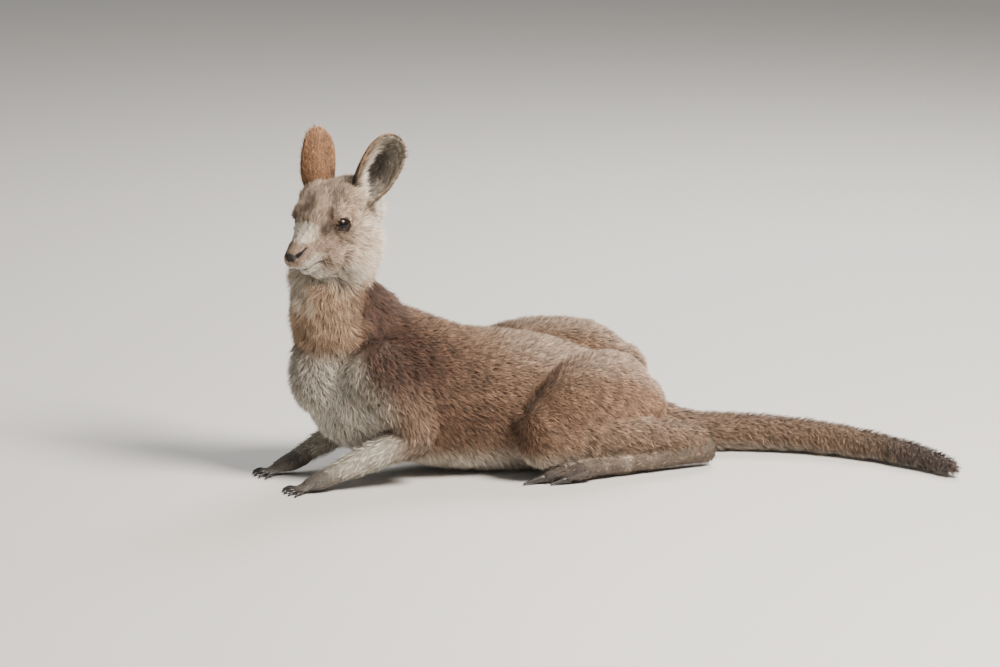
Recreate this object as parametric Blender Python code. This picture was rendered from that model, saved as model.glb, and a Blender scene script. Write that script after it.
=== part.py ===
"""A young eastern grey kangaroo at rest on its belly, modelled whole and then parted into its named parts.

Metres, +Z up. The animal faces -Y and its left side is +X. Every surface is the outside of the coat.
The body is built from lofted masses that are fused and smoothed, laid on the ground plane, and then
divided by cells with a thin gap between neighbours. The ears, the eyes and the claws are made alone.
"""

import math

import bmesh
import bpy
import numpy as np
from mathutils import Matrix, Vector

CM = 0.01                      # stations below are written in centimetres
GAP = 0.0003                   # space left between two parts that touch
VOXEL = 0.0024                 # grain at which the masses are fused
FLESH_TRIANGLES = 2120         # faces kept on the fused body
SMOOTH_PASSES = 9

# Head: where it is and how it is held.
HEAD_CENTRE = (2.6, -19.3, 28.7)   # midway between the eyes
HEAD_TURN = 30.0               # degrees toward the animal's left
HEAD_PITCH = 25.0              # degrees nose down
HEAD_ROLL = 5.0                # degrees, left side down
EYE_RADIUS = 1.0
EYE_AT = (0.2, 2.6, 0.25)      # forward, outward, up from the head centre
EAR_ROOT = (-4.0, 2.8, 1.3)    # forward, outward, up from the head centre
EAR_LENGTH = 7.35
EAR_LEVELS = (-0.17, 0.02, 0.13, 0.28, 0.46, 0.64, 0.8, 0.92, 1.0)
EAR_COLUMNS = 9
EAR_HALF_WIDTH = 2.69
EAR_OPENING = {1.0: 32.0, -1.0: -8.0}   # degrees forward of straight out, left and right
# The way each ear stands, level with the ground: forward, outward, up.
EAR_ALONG = {1.0: (-0.34, 0.42, 0.84), -1.0: (-0.35, 0.38, 0.85)}
# Against the share of the ear's length: half the arc in degrees, the thickness, and how far it is hollowed.
EAR_ARC = ((0.0, 0.2, 0.45, 1.0), (108.0, 100.0, 82.0, 52.0))
EAR_THICKNESS = ((0.0, 0.5, 1.0), (0.5, 0.4, 0.3))
EAR_HOLLOW = ((0.02, 0.27), (0.0, 1.0))
EAR_SET_BACK = 0.4             # share of the cup's radius that lies in front of the ear's middle line

# Stations of each mass: x, y, z of the middle, half width, half height.
TRUNK = (
    (0.0, -18.1, 12.6, 4.2, 5.8),
    (0.0, -15.8, 11.9, 6.0, 7.6),
    (0.0, -12.5, 10.9, 7.0, 8.4),
    (0.0, -8.5, 9.6, 7.3, 8.3),
    (0.0, -4.0, 8.2, 7.7, 8.0),
    (0.2, 1.0, 7.4, 8.0, 8.0),
    (0.6, 6.0, 6.6, 7.8, 7.7),
    (0.9, 11.0, 6.0, 6.8, 6.4),
    (0.8, 15.0, 5.3, 5.2, 4.7),
)
NECK = (
    (0.0, -13.5, 11.0, 6.0, 7.6),
    (0.0, -15.2, 15.5, 5.3, 6.9),
    (0.1, -17.0, 19.5, 4.4, 5.35),
    (0.3, -17.5, 22.5, 4.1, 4.65),
    (0.7, -16.95, 25.0, 4.0, 4.5),
    (1.0, -16.3, 27.2, 3.7, 3.95),
)
TAIL = (
    (0.8, 14.0, 6.0, 4.0, 3.8),
    (0.8, 17.4, 4.6, 3.5, 3.4),
    (0.9, 20.4, 3.1, 2.9, 2.9),
    (1.4, 24.3, 2.2, 2.5, 2.4),
    (3.4, 30.0, 2.05, 2.3, 2.2),
    (7.6, 36.0, 1.85, 2.05, 2.0),
    (13.2, 40.6, 1.6, 1.8, 1.75),
    (19.4, 43.6, 1.35, 1.45, 1.45),
    (23.8, 45.0, 1.1, 1.1, 1.1),
)
LEFT_THIGH = (
    (4.4, 16.4, 6.0, 3.2, 3.9),
    (5.2, 13.4, 6.8, 4.6, 5.9),
    (6.4, 9.5, 6.9, 4.7, 6.3),
    (7.9, 5.6, 5.9, 4.2, 5.4),
    (8.8, 3.2, 5.2, 3.2, 4.2),
)
RIGHT_THIGH = (
    (-3.0, 17.4, 8.3, 3.2, 3.8),
    (-3.9, 14.0, 8.7, 4.5, 5.7),
    (-4.6, 9.5, 9.1, 4.6, 6.1),
    (-5.4, 5.6, 8.7, 4.3, 6.1),
    (-6.4, 3.0, 7.8, 3.4, 5.2),
)
SHANK = (
    (9.0, 4.6, 5.3, 2.9, 3.4),
    (9.1, 10.0, 4.7, 2.4, 2.7),
    (8.8, 16.0, 3.9, 2.0, 2.1),
    (8.5, 21.2, 3.2, 1.8, 1.9),
)
FOOT = (
    (8.5, 22.4, 1.8, 1.6, 1.9),
    (8.9, 17.0, 1.3, 1.6, 1.5),
    (9.5, 11.0, 1.15, 1.7, 1.35),
    (10.0, 6.8, 1.05, 1.8, 1.25),
)
UPPER_ARM = (
    (4.8, -14.4, 13.4, 3.2, 4.0),
    (5.9, -12.2, 9.8, 2.9, 3.4),
    (6.4, -10.6, 7.0, 2.3, 2.6),
    (6.5, -10.2, 5.4, 1.9, 2.1),
)
FOREARM = (
    (6.4, -10.2, 5.3, 2.0, 2.2),
    (6.0, -13.4, 4.3, 1.9, 2.0),
    (5.3, -16.8, 2.9, 1.6, 1.6),
    (4.9, -19.2, 1.9, 1.35, 1.3),
)
HAND = (
    (4.9, -19.0, 1.8, 1.3, 1.2),
    (4.7, -20.8, 1.05, 1.45, 1.15),
    (4.6, -21.8, 0.75, 1.3, 0.95),
)
FOOT_CELL = (
    (8.5, 22.4, 1.7, 1.7, 2.0),
    (8.9, 17.0, 1.2, 1.7, 1.5),
    (9.5, 11.0, 1.0, 1.8, 1.4),
    (10.1, 6.5, 1.0, 2.4, 1.3),
    (10.5, 2.8, 0.9, 2.4, 1.2),
)
SHANK_CELL = (
    (9.3, 5.6, 3.6, 2.6, 2.4),
    (9.3, 10.0, 4.3, 2.6, 2.9),
    (8.9, 16.0, 3.8, 2.3, 2.4),
    (8.5, 21.2, 3.2, 2.1, 2.2),
)
# Head stations: forward, up of the middle, half width, half height.
SKULL = (
    (5.5, -0.8, 1.65, 1.6),
    (4.6, -0.85, 1.95, 2.0),
    (3.4, -0.85, 2.25, 2.3),
    (2.1, -0.75, 2.6, 2.7),
    (0.6, -0.5, 3.05, 3.05),
    (-1.0, -0.3, 3.5, 3.3),
    (-3.0, -0.3, 3.75, 3.4),
    (-5.0, -0.5, 3.5, 3.2),
)
# Rounded masses on the skull: forward, outward, up of the middle, then the three radii. Those with no
# outward place lie on the middle line; the others come in pairs.
HEAD_BALLS = {
    "brow": (-0.5, 2.35, 1.1, 1.9, 1.35, 1.35),
    "cheek": (-1.8, 2.2, -1.3, 2.6, 1.6, 2.1),
    "ear base": (-4.0, 2.5, 1.0, 1.9, 1.6, 1.8),
    "temple": (-2.6, 2.5, 1.8, 2.3, 1.7, 1.6),
    "jaw": (-1.0, 1.8, -3.9, 3.2, 2.0, 2.4),
    "gullet": (1.6, 0.0, -3.5, 2.8, 1.6, 1.4),
    "chin": (3.9, 0.0, -2.6, 1.75, 1.05, 0.95),
    "chewing muscle": (1.4, 1.3, -2.5, 2.3, 1.4, 1.6),
}
# Where the thin cuts fall.
BEYOND = 60.0                  # farther than any part of the animal reaches
WRIST_Y = -18.8
HAND_INNER = 2.2
HAND_OUTER = 8.0
HAND_TOP = 3.4
THIGH_SLAB_Y = 4.5
THIGH_MARGIN = 0.009
THIGH_INNER = {"left": 2.4, "right": 0.6}      # distance of the cut from the middle plane
UPPER_ARM_MARGIN = 0.005
LIMB_MARGIN = 0.003
TAIL_BASE_Y = 19.2
TAIL_MIDDLE_Y = 29.0
TAIL_TIP_Y = 39.0
TAIL_CELL_LEFT = 9.0
TAIL_CELL_TOP = 12.0
HEAD_CELL = ((-4.7, -8.0, -4.6), (12.0, 8.0, 9.0))     # in head coordinates
NECK_BASE = (0.0, -16.5, 17.5)
NECK_CELL = ((-15.0, -15.0, 0.0), (15.0, 15.0, 25.0))  # above the collar's plane
NECK_BASE_TILT = 22.0          # degrees the collar rises toward the nape
# Toes: outward offset from the foot's middle line, y of the root, y of the end, radius, claw length.
TOES = {
    "fourth": (0.1, 7.2, 3.4, 1.0, 2.0),
    "fifth": (1.35, 7.6, 5.2, 0.75, 1.3),
    "second_third": (-1.15, 7.8, 6.2, 0.6, 0.9),
}
TOE_SPLAY = 0.06               # outward drift for each centimetre of toe
# Along a toe: share of its length, height of the middle and radius as shares of its own radius.
TOE_SHAPE = ((0.0, 1.05, 1.0), (0.5, 0.88, 0.97), (1.0, 0.74, 0.8))
# Along a toe's claw: share of its length, height as a share of the toe's radius, radius as a share of its base.
TOE_CLAW_SHAPE = ((0.0, 0.6, 1.0), (0.5, 0.62, 0.8), (1.0, 0.3, 0.25))
FINGERS = (-34.0, -17.0, 0.0, 17.0, 34.0)      # degrees each finger spreads from straight ahead
FINGER_NAMES = ("first", "second", "third", "fourth", "fifth")
FINGER_RADIUS = 0.42
FINGER_ROOT = 0.6              # distance of the knuckles from the middle of the palm
FINGER_LENGTH = 1.7
FINGER_CLAW = 1.1
# Along a finger: share of its length, height of the middle, share of its radius.
FINGER_SHAPE = ((0.0, 0.6, 1.0), (0.6, 0.42, 0.95), (1.0, 0.32, 0.8))
# Along a finger's claw: share of its length, height of the middle, radius.
FINGER_CLAW_SHAPE = ((0.0, 0.38, 0.2), (0.6, 0.4, 0.16), (1.0, 0.18, 0.07))
CLAW_SIDES = 6


def clear_scene():
    for obj in list(bpy.data.objects):
        bpy.data.objects.remove(obj)


def material(name, colour, roughness):
    made = bpy.data.materials.new(name)
    made.use_nodes = True
    shader = made.node_tree.nodes["Principled BSDF"]
    shader.inputs["Base Color"].default_value = (*colour, 1.0)
    shader.inputs["Roughness"].default_value = roughness
    shader.inputs["Metallic"].default_value = 0.0
    return made


def mesh_object(name, points, faces):
    mesh = bpy.data.meshes.new(name)
    mesh.from_pydata([tuple(p) for p in points], [], [tuple(int(i) for i in f) for f in faces])
    mesh.update()
    work = bmesh.new()
    work.from_mesh(mesh)
    bmesh.ops.triangulate(work, faces=work.faces, quad_method="FIXED")
    bmesh.ops.recalc_face_normals(work, faces=work.faces)
    work.to_mesh(mesh)
    work.free()
    obj = bpy.data.objects.new(name, mesh)
    bpy.context.scene.collection.objects.link(obj)
    return obj


def spline(rows, steps):
    """Rows joined by a Catmull-Rom curve through all their columns."""
    rows = np.asarray(rows, float)
    ends = np.vstack([2 * rows[0] - rows[1], rows, 2 * rows[-1] - rows[-2]])
    out = []
    for k in range(1, len(ends) - 2):
        a, b, c, d = ends[k - 1:k + 3]
        for t in np.arange(steps) / steps:
            out.append(0.5 * (2 * b + (c - a) * t + (2 * a - 5 * b + 4 * c - d) * t**2
                              + (3 * b - a - 3 * c + d) * t**3))
    out.append(rows[-1])
    return np.array(out)


def loft(name, rows, sides=20, steps=4, up=(0, 0, 1), grow=0.0, round_ends=True, blunt=1.0):
    """A tube of elliptic rings square to a smooth path, closed by rounded or flat ends."""
    rows = spline(rows, steps)
    centres = rows[:, :3]
    half = rows[:, 3:5] + grow / CM
    along = np.gradient(centres, axis=0)
    along /= np.linalg.norm(along, axis=1)[:, None]
    side = np.cross(along, up)
    side /= np.linalg.norm(side, axis=1)[:, None]
    top = np.cross(side, along)
    rings = [(centres[k], side[k], top[k], half[k]) for k in range(len(rows))]
    tips = [centres[0] - along[0] * grow / CM, centres[-1] + along[-1] * grow / CM]
    if round_ends:
        for end, sign in ((0, -1.0), (-1, 1.0)):
            reach = min(half[end]) * blunt
            caps = []
            for angle in (30.0, 58.0):
                push = math.sin(math.radians(angle)) * reach
                shrink = math.cos(math.radians(angle))
                middle = centres[end] + sign * push * along[end]
                caps.append((middle, side[end], top[end], half[end] * shrink))
            rings = (caps[::-1] + rings) if end == 0 else (rings + caps)
            tips[end] = centres[end] + sign * reach * along[end]
    turn = 2 * math.pi * np.arange(sides) / sides
    points = []
    for middle, across, upward, reach in rings:
        circle = np.outer(np.cos(turn) * reach[0], across) + np.outer(np.sin(turn) * reach[1], upward)
        points.append(middle + circle)
    points = np.vstack(points + [tips[0][None], tips[1][None]]) * CM
    faces = []
    for ring in range(len(rings) - 1):
        for k in range(sides):
            a = ring * sides + k
            b = ring * sides + (k + 1) % sides
            faces.append((a, b, b + sides, a + sides))
    first = len(rings) * sides
    last = (len(rings) - 1) * sides
    for k in range(sides):
        faces.append((first, (k + 1) % sides, k))
        faces.append((first + 1, last + k, last + (k + 1) % sides))
    return mesh_object(name, points, faces)


def mirrored(rows):
    """The same stations on the animal's other side."""
    return tuple((-row[0], *row[1:]) for row in rows)


def head_frame():
    """Matrix from head coordinates (forward, left, up) in metres to the world."""
    turn = math.radians(HEAD_TURN)
    level_forward = Vector((math.sin(turn), -math.cos(turn), 0.0))
    left = Vector((math.cos(turn), math.sin(turn), 0.0))
    forward = Matrix.Rotation(math.radians(HEAD_PITCH), 3, left) @ level_forward
    left = Matrix.Rotation(math.radians(HEAD_ROLL), 3, forward) @ left
    up = forward.cross(left)
    frame = Matrix((forward, left, up)).transposed().to_4x4()
    frame.translation = Vector(HEAD_CENTRE) * CM
    return frame


def ball(name, centre, radii, frame, rings=8, sides=14):
    made = bmesh.new()
    bmesh.ops.create_uvsphere(made, u_segments=sides, v_segments=rings, radius=1.0)
    stretch = Matrix.Diagonal((radii[0] * CM, radii[1] * CM, radii[2] * CM, 1.0))
    place = Matrix.Translation(Vector(centre) * CM)
    bmesh.ops.transform(made, matrix=frame @ place @ stretch, verts=made.verts)
    mesh = bpy.data.meshes.new(name)
    made.to_mesh(mesh)
    made.free()
    obj = bpy.data.objects.new(name, mesh)
    bpy.context.scene.collection.objects.link(obj)
    return obj


def box(name, low, high, frame):
    """A box between two corners given in centimetres in a frame."""
    corners = [(x, y, z) for x in (low[0], high[0]) for y in (low[1], high[1]) for z in (low[2], high[2])]
    points = [frame @ (Vector(c) * CM) for c in corners]
    faces = [(0, 1, 3, 2), (4, 6, 7, 5), (0, 4, 5, 1), (2, 3, 7, 6), (0, 2, 6, 4), (1, 5, 7, 3)]
    return mesh_object(name, points, faces)


def bake_modifiers(obj):
    """The object's mesh replaced by what its modifiers make of it."""
    graph = bpy.context.evaluated_depsgraph_get()
    mesh = bpy.data.meshes.new_from_object(obj.evaluated_get(graph))
    obj.modifiers.clear()
    obj.data = mesh


def boolean(obj, other, operation):
    change = obj.modifiers.new(operation.title(), "BOOLEAN")
    change.operation = operation
    change.solver = "EXACT"
    change.object = other
    bake_modifiers(obj)


def remove(*objects):
    for obj in objects:
        bpy.data.objects.remove(obj)


def copy_of(obj, name):
    made = bpy.data.objects.new(name, obj.data.copy())
    bpy.context.scene.collection.objects.link(made)
    return made


def keep_largest(obj):
    """Drops the crumbs a cut leaves beside the main body."""
    work = bmesh.new()
    work.from_mesh(obj.data)
    work.verts.ensure_lookup_table()
    unseen = set(work.verts)
    islands = []
    while unseen:
        seed = unseen.pop()
        island = {seed}
        edge = [seed]
        while edge:
            here = edge.pop()
            for link in here.link_edges:
                other = link.other_vert(here)
                if other not in island:
                    island.add(other)
                    edge.append(other)
        unseen -= island
        islands.append(island)
    islands.sort(key=len)
    for island in islands[:-1]:
        bmesh.ops.delete(work, geom=list(island), context="VERTS")
    work.to_mesh(obj.data)
    work.free()


def fused(name, masses):
    """One smooth closed surface over overlapping masses."""
    work = bmesh.new()
    for mass in masses:
        work.from_mesh(mass.data)
    mesh = bpy.data.meshes.new(name)
    work.to_mesh(mesh)
    work.free()
    remove(*masses)
    obj = bpy.data.objects.new(name, mesh)
    bpy.context.scene.collection.objects.link(obj)
    grain = obj.modifiers.new("Fuse", "REMESH")
    grain.mode = "VOXEL"
    grain.voxel_size = VOXEL
    soften = obj.modifiers.new("Soften", "SMOOTH")
    soften.factor = 0.5
    soften.iterations = SMOOTH_PASSES
    bake_modifiers(obj)
    keep_largest(obj)
    thin = obj.modifiers.new("Thin", "DECIMATE")
    thin.ratio = FLESH_TRIANGLES / (2.0 * len(obj.data.polygons))
    bake_modifiers(obj)
    return obj


def ear_axes(side, frame):
    """The way the ear stands, the way it opens, and the way across it."""
    forward = Vector(frame.col[0][:3])
    level_forward = Vector((forward.x, forward.y, 0.0)).normalized()
    level_out = Vector((-level_forward.y, level_forward.x, 0.0)) * side
    ahead, outward, upward = EAR_ALONG[side]
    along = (ahead * level_forward + outward * level_out + upward * Vector((0, 0, 1))).normalized()
    facing = math.radians(EAR_OPENING[side])
    opening = math.cos(facing) * level_out + math.sin(facing) * level_forward
    opening = (opening - along * opening.dot(along)).normalized()
    return along, opening, along.cross(opening)


def ear_shell(name, side, frame, filled=False):
    """A cupped leaf on a solid root: each level is an arc of a circle, flatter and thinner toward the tip.
    Filled, its cup is level with its rim."""
    along, opening, across = ear_axes(side, frame)
    root = frame @ (Vector((EAR_ROOT[0], EAR_ROOT[1] * side, EAR_ROOT[2])) * CM)
    outer, inner = [], []
    for share in EAR_LEVELS:
        above = max(share, 0.0)
        width = EAR_HALF_WIDTH * (0.5 + 0.95 * above - 0.42 * above**2) * math.sqrt(1.0 - 0.993 * above**3.2)
        arc = math.radians(float(np.interp(above, *EAR_ARC)))
        thick = float(np.interp(above, *EAR_THICKNESS))
        hollow = 0.0 if filled else float(np.interp(above, *EAR_HOLLOW))
        radius = width / math.sin(min(arc, math.pi / 2))
        far = radius + thick / 2
        near = radius - thick / 2
        middle = Vector(root) + along * (share * EAR_LENGTH * CM)
        for k in range(EAR_COLUMNS):
            turn = arc * (2.0 * k / (EAR_COLUMNS - 1) - 1.0)
            back = EAR_SET_BACK * radius - math.cos(turn) * far
            cup = EAR_SET_BACK * radius - math.cos(turn) * near
            plug = radius * (EAR_SET_BACK - math.cos(arc) + 0.1 * math.cos(turn / arc * math.pi / 2))
            floor = hollow * cup + (1.0 - hollow) * plug
            spread = near * (hollow * math.sin(turn) + (1.0 - hollow) * math.sin(arc) * turn / arc)
            outer.append(middle + across * (math.sin(turn) * far * CM) + opening * (back * CM))
            inner.append(middle + across * (spread * CM) + opening * (floor * CM))
    points = outer + inner
    half = len(outer)
    last = half - EAR_COLUMNS
    faces = []
    for a in range(last):
        if a % EAR_COLUMNS < EAR_COLUMNS - 1:
            above = a + EAR_COLUMNS
            faces.append((a, a + 1, above + 1, above))
            faces.append((half + a, half + above, half + above + 1, half + a + 1))
    rim = list(range(EAR_COLUMNS)) + list(range(2 * EAR_COLUMNS - 1, half, EAR_COLUMNS))
    rim += list(range(half - 2, last - 1, -1)) + list(range(last - EAR_COLUMNS, 0, -EAR_COLUMNS))
    for a, b in zip(rim, rim[1:] + rim[:1]):
        faces.append((a, b, half + b, half + a))
    return mesh_object(name, points, faces)


def swollen(obj, amount):
    """A copy whose faces are all moved out by the same amount."""
    made = copy_of(obj, "Swollen")
    work = bmesh.new()
    work.from_mesh(made.data)
    moved = [(point, point.co + point.normal * amount * point.calc_shell_factor()) for point in work.verts]
    for point, place in moved:
        point.co = place
    work.to_mesh(made.data)
    work.free()
    return made


def head_masses(frame):
    """The skull and muzzle with brows, cheeks and ear bases, in head coordinates."""
    rows = [(f, 0.0, u, w, h) for f, u, w, h in SKULL]
    skull = loft("Skull", rows, sides=28, steps=5, blunt=0.75)
    skull.data.transform(frame)
    masses = [skull]
    for name, (forward, outward, upward, *radii) in HEAD_BALLS.items():
        for side in (1.0, -1.0) if outward else (1.0,):
            masses.append(ball(name.capitalize(), (forward, outward * side, upward), radii, frame))
    return masses


def toe_rows(side, name):
    offset, root, end, radius, _ = TOES[name]
    rows = []
    for share, height, size in TOE_SHAPE:
        y = root + (end - root) * share
        x = side * (FOOT[-1][0] + offset + (root - y) * TOE_SPLAY)
        rows.append((x, y, height * radius, radius * size, radius * size))
    return tuple(rows)


def toe_claw(side, toe, name, grow=0.0):
    offset, root, end, radius, length = TOES[toe]
    x = FOOT[-1][0] + offset + (root - end) * TOE_SPLAY
    base = 0.42 * radius + 0.05
    rows = []
    for share, height, size in TOE_CLAW_SHAPE:
        y = end - 0.1 - (0.8 * radius + length - 0.1) * share
        rows.append((side * (x + 0.04 * share), y, height * radius, base * size, base * size))
    return loft(name, rows, sides=CLAW_SIDES, steps=1, grow=grow, round_ends=False)


def finger_point(side, spread, reach):
    """x and y at a distance from the middle of the palm along a finger."""
    turn = math.radians(spread)
    x, y = HAND[-1][0], HAND[-1][1] + 0.5
    return side * (x + math.sin(turn) * reach), y - math.cos(turn) * reach


def finger_rows(side, spread):
    rows = []
    for share, height, size in FINGER_SHAPE:
        place = finger_point(side, spread, FINGER_ROOT + FINGER_LENGTH * share)
        rows.append((*place, height, FINGER_RADIUS * size, FINGER_RADIUS * size))
    return tuple(rows)


def finger_claw(side, spread, name, grow=0.0):
    rows = []
    for share, height, radius in FINGER_CLAW_SHAPE:
        place = finger_point(side, spread, FINGER_ROOT + FINGER_LENGTH + FINGER_CLAW * share)
        rows.append((*place, height, radius, radius))
    return loft(name, rows, sides=CLAW_SIDES, steps=1, grow=grow, round_ends=False)


def part_off(rest, name, cell_of):
    """Makes what lies in a cell its own object, and draws the rest back from it by the gap."""
    cell = cell_of(0.0)
    piece = copy_of(rest, name)
    boolean(piece, cell, "INTERSECT")
    keep_largest(piece)
    wide = cell_of(GAP)
    boolean(rest, wide, "DIFFERENCE")
    keep_largest(rest)
    remove(cell, wide)
    return piece


def tube_cell(rows, up=(0, 0, 1), margin=LIMB_MARGIN):
    """A cell that follows a limb a little outside its surface."""
    def make(grow):
        return loft("Cell", rows, sides=10, steps=1, up=up, grow=margin + grow)
    return make


def thigh_cell(rows, side, inner):
    """The thigh's own tube in front, and everything outward of a plane beside the spine behind."""
    def make(grow):
        cell = loft("Cell", rows, sides=12, steps=1, grow=THIGH_MARGIN + grow)
        low, high = sorted((side * (inner - grow / CM), side * BEYOND))
        level = Matrix.Identity(4)
        slab = box("Slab", (low, THIGH_SLAB_Y - grow / CM, -BEYOND), (high, TAIL_BASE_Y + 1.0, BEYOND), level)
        outward = box("Outward", (low, -2 * BEYOND, -2 * BEYOND), (high, 2 * BEYOND, 2 * BEYOND), level)
        boolean(cell, slab, "UNION")
        boolean(cell, outward, "INTERSECT")
        remove(slab, outward)
        return cell
    return make


def box_cell(low, high, frame=None):
    def make(grow):
        edge = grow / CM
        return box("Cell", [v - edge for v in low], [v + edge for v in high], frame or Matrix.Identity(4))
    return make


def dress(obj, look, smooth=True):
    obj.data.materials.clear()
    obj.data.materials.append(look)
    for face in obj.data.polygons:
        face.use_smooth = smooth


def body_masses(frame):
    masses = head_masses(frame)
    masses.append(loft("Trunk mass", TRUNK, sides=32))
    masses.append(loft("Neck mass", NECK, sides=28, up=(0, -1, 0)))
    masses.append(loft("Tail mass", TAIL, sides=20))
    masses.append(loft("Thigh mass", LEFT_THIGH, sides=24))
    masses.append(loft("Thigh mass", RIGHT_THIGH, sides=24))
    for side, flip in ((1.0, tuple), (-1.0, mirrored)):
        masses.append(loft("Shank mass", flip(SHANK)))
        masses.append(loft("Foot mass", flip(FOOT)))
        masses.append(loft("Upper arm mass", flip(UPPER_ARM), up=(0, -1, 0)))
        masses.append(loft("Forearm mass", flip(FOREARM)))
        masses.append(loft("Hand mass", flip(HAND)))
        for name in TOES:
            masses.append(loft("Toe mass", toe_rows(side, name), sides=12))
        for spread in FINGERS:
            masses.append(loft("Finger mass", finger_rows(side, spread), sides=10))
    return masses


def build():
    clear_scene()
    frame = head_frame()
    grey = material("Grey coat", (0.33, 0.27, 0.23), 0.9)
    pale = material("Pale coat", (0.5, 0.46, 0.41), 0.9)
    face = material("Face coat", (0.36, 0.32, 0.28), 0.9)
    ear = material("Ear coat", (0.3, 0.23, 0.18), 0.85)
    paw = material("Dark paw coat", (0.16, 0.13, 0.11), 0.85)
    horn = material("Claw", (0.045, 0.04, 0.038), 0.45)
    eye = material("Eye", (0.03, 0.017, 0.01), 0.12)

    rest = fused("trunk", body_masses(frame))
    ground = box("Ground", (-BEYOND, -BEYOND, -BEYOND), (BEYOND, BEYOND, 0.0), Matrix.Identity(4))
    boolean(rest, ground, "DIFFERENCE")
    remove(ground)

    for side, word, flip in ((1.0, "left", tuple), (-1.0, "right", mirrored)):
        ear_node = ear_shell(f"ear_{word}", side, frame)
        plug = ear_shell("Plug", side, frame, filled=True)
        wide = swollen(plug, 1.3 * GAP)
        boolean(rest, wide, "DIFFERENCE")
        dress(ear_node, ear)
        at = (EYE_AT[0], EYE_AT[1] * side, EYE_AT[2])
        eye_node = ball(f"eye_{word}", at, (EYE_RADIUS,) * 3, frame)
        socket = ball("Socket", at, (EYE_RADIUS + GAP / CM,) * 3, frame)
        boolean(rest, socket, "DIFFERENCE")
        dress(eye_node, eye)
        remove(plug, wide, socket)
        for name in TOES:
            dress(toe_claw(side, name, f"claw_{name}_toe_{word}"), horn)
            hole = toe_claw(side, name, "Hole", grow=GAP)
            boolean(rest, hole, "DIFFERENCE")
            remove(hole)
        for spread, finger in zip(FINGERS, FINGER_NAMES):
            dress(finger_claw(side, spread, f"claw_{finger}_finger_{word}"), horn)
            hole = finger_claw(side, spread, "Hole", grow=GAP)
            boolean(rest, hole, "DIFFERENCE")
            remove(hole)
        keep_largest(rest)

        low, high = sorted((side * HAND_INNER, side * HAND_OUTER))
        dress(part_off(rest, f"hand_{word}", box_cell((low, -BEYOND, -1.0), (high, WRIST_Y, HAND_TOP))), paw)
        dress(part_off(rest, f"foot_{word}", tube_cell(flip(FOOT_CELL))), paw)
        dress(part_off(rest, f"forearm_{word}", tube_cell(flip(FOREARM))), grey)
        arm_cell = tube_cell(flip(UPPER_ARM), up=(0, -1, 0), margin=UPPER_ARM_MARGIN)
        dress(part_off(rest, f"upper_arm_{word}", arm_cell), grey)
        dress(part_off(rest, f"shank_{word}", tube_cell(flip(SHANK_CELL))), grey)
        thigh = LEFT_THIGH if side > 0 else RIGHT_THIGH
        dress(part_off(rest, f"thigh_{word}", thigh_cell(thigh, side, THIGH_INNER[word])), grey)

    for name, start in (("tail_tip", TAIL_TIP_Y), ("tail_middle", TAIL_MIDDLE_Y), ("tail_base", TAIL_BASE_Y)):
        cell = box_cell((-TAIL_CELL_LEFT, start, -1.0), (BEYOND, BEYOND, TAIL_CELL_TOP))
        dress(part_off(rest, name, cell), grey)
    dress(part_off(rest, "head", box_cell(*HEAD_CELL, frame)), face)
    collar = Matrix.Rotation(math.radians(NECK_BASE_TILT), 4, "X")
    collar.translation = Vector(NECK_BASE) * CM
    dress(part_off(rest, "neck", box_cell(*NECK_CELL, collar)), pale)
    dress(rest, grey)


build()
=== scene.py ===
"""The looks of a young eastern grey kangaroo at rest: skin, coat, eyes, lids, claws and whiskers.

Metres, +Z up. The animal faces -Y and its left side is +X. Stations are written in centimetres.
"""

import math

import bmesh
import bpy
import numpy as np
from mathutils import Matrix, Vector


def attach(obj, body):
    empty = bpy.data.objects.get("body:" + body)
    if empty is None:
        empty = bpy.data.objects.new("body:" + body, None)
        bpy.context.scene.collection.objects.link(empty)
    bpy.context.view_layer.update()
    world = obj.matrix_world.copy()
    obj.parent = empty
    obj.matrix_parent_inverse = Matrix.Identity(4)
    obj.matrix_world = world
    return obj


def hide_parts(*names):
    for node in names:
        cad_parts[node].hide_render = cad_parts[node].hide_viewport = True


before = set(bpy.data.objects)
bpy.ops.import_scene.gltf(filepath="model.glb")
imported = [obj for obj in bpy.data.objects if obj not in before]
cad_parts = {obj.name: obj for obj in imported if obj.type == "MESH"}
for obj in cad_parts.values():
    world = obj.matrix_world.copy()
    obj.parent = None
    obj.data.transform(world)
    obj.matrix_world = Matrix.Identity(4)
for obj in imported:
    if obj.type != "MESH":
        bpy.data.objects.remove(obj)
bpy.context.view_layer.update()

CM = 0.01
MM = 0.001
TAU = 2.0 * math.pi
SEED = 20
VOXEL = 0.0034    # metres between points of the skin before the head is divided more finely
FINER = ((8.6, (-0.5, 0.0, -0.3)), (5.6, (3.2, 0.0, -0.6)))    # reach and middle of head and muzzle

# ---------------------------------------------------------------- where the head is and how it is held
HEAD_CENTRE = np.array((2.6, -19.3, 28.7)) * CM      # midway between the eyes
HEAD_TURN = 30.0               # degrees toward the animal's left
HEAD_PITCH = 25.0              # degrees nose down
HEAD_ROLL = 5.0                # degrees, left side down
HEAD_REACH = 9.0               # cm from the head centre that takes in the whole of it
EYE_RADIUS = 1.0
EYE_AT = (0.2, 2.6, 0.25)      # forward, outward, up from the head centre
EYE_FACING = (0.42, 1.0, 0.12)     # forward, outward, up: the way an eye looks
EYE_TILT = 30.0                # degrees that the front corner stands above the head's own level
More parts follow.
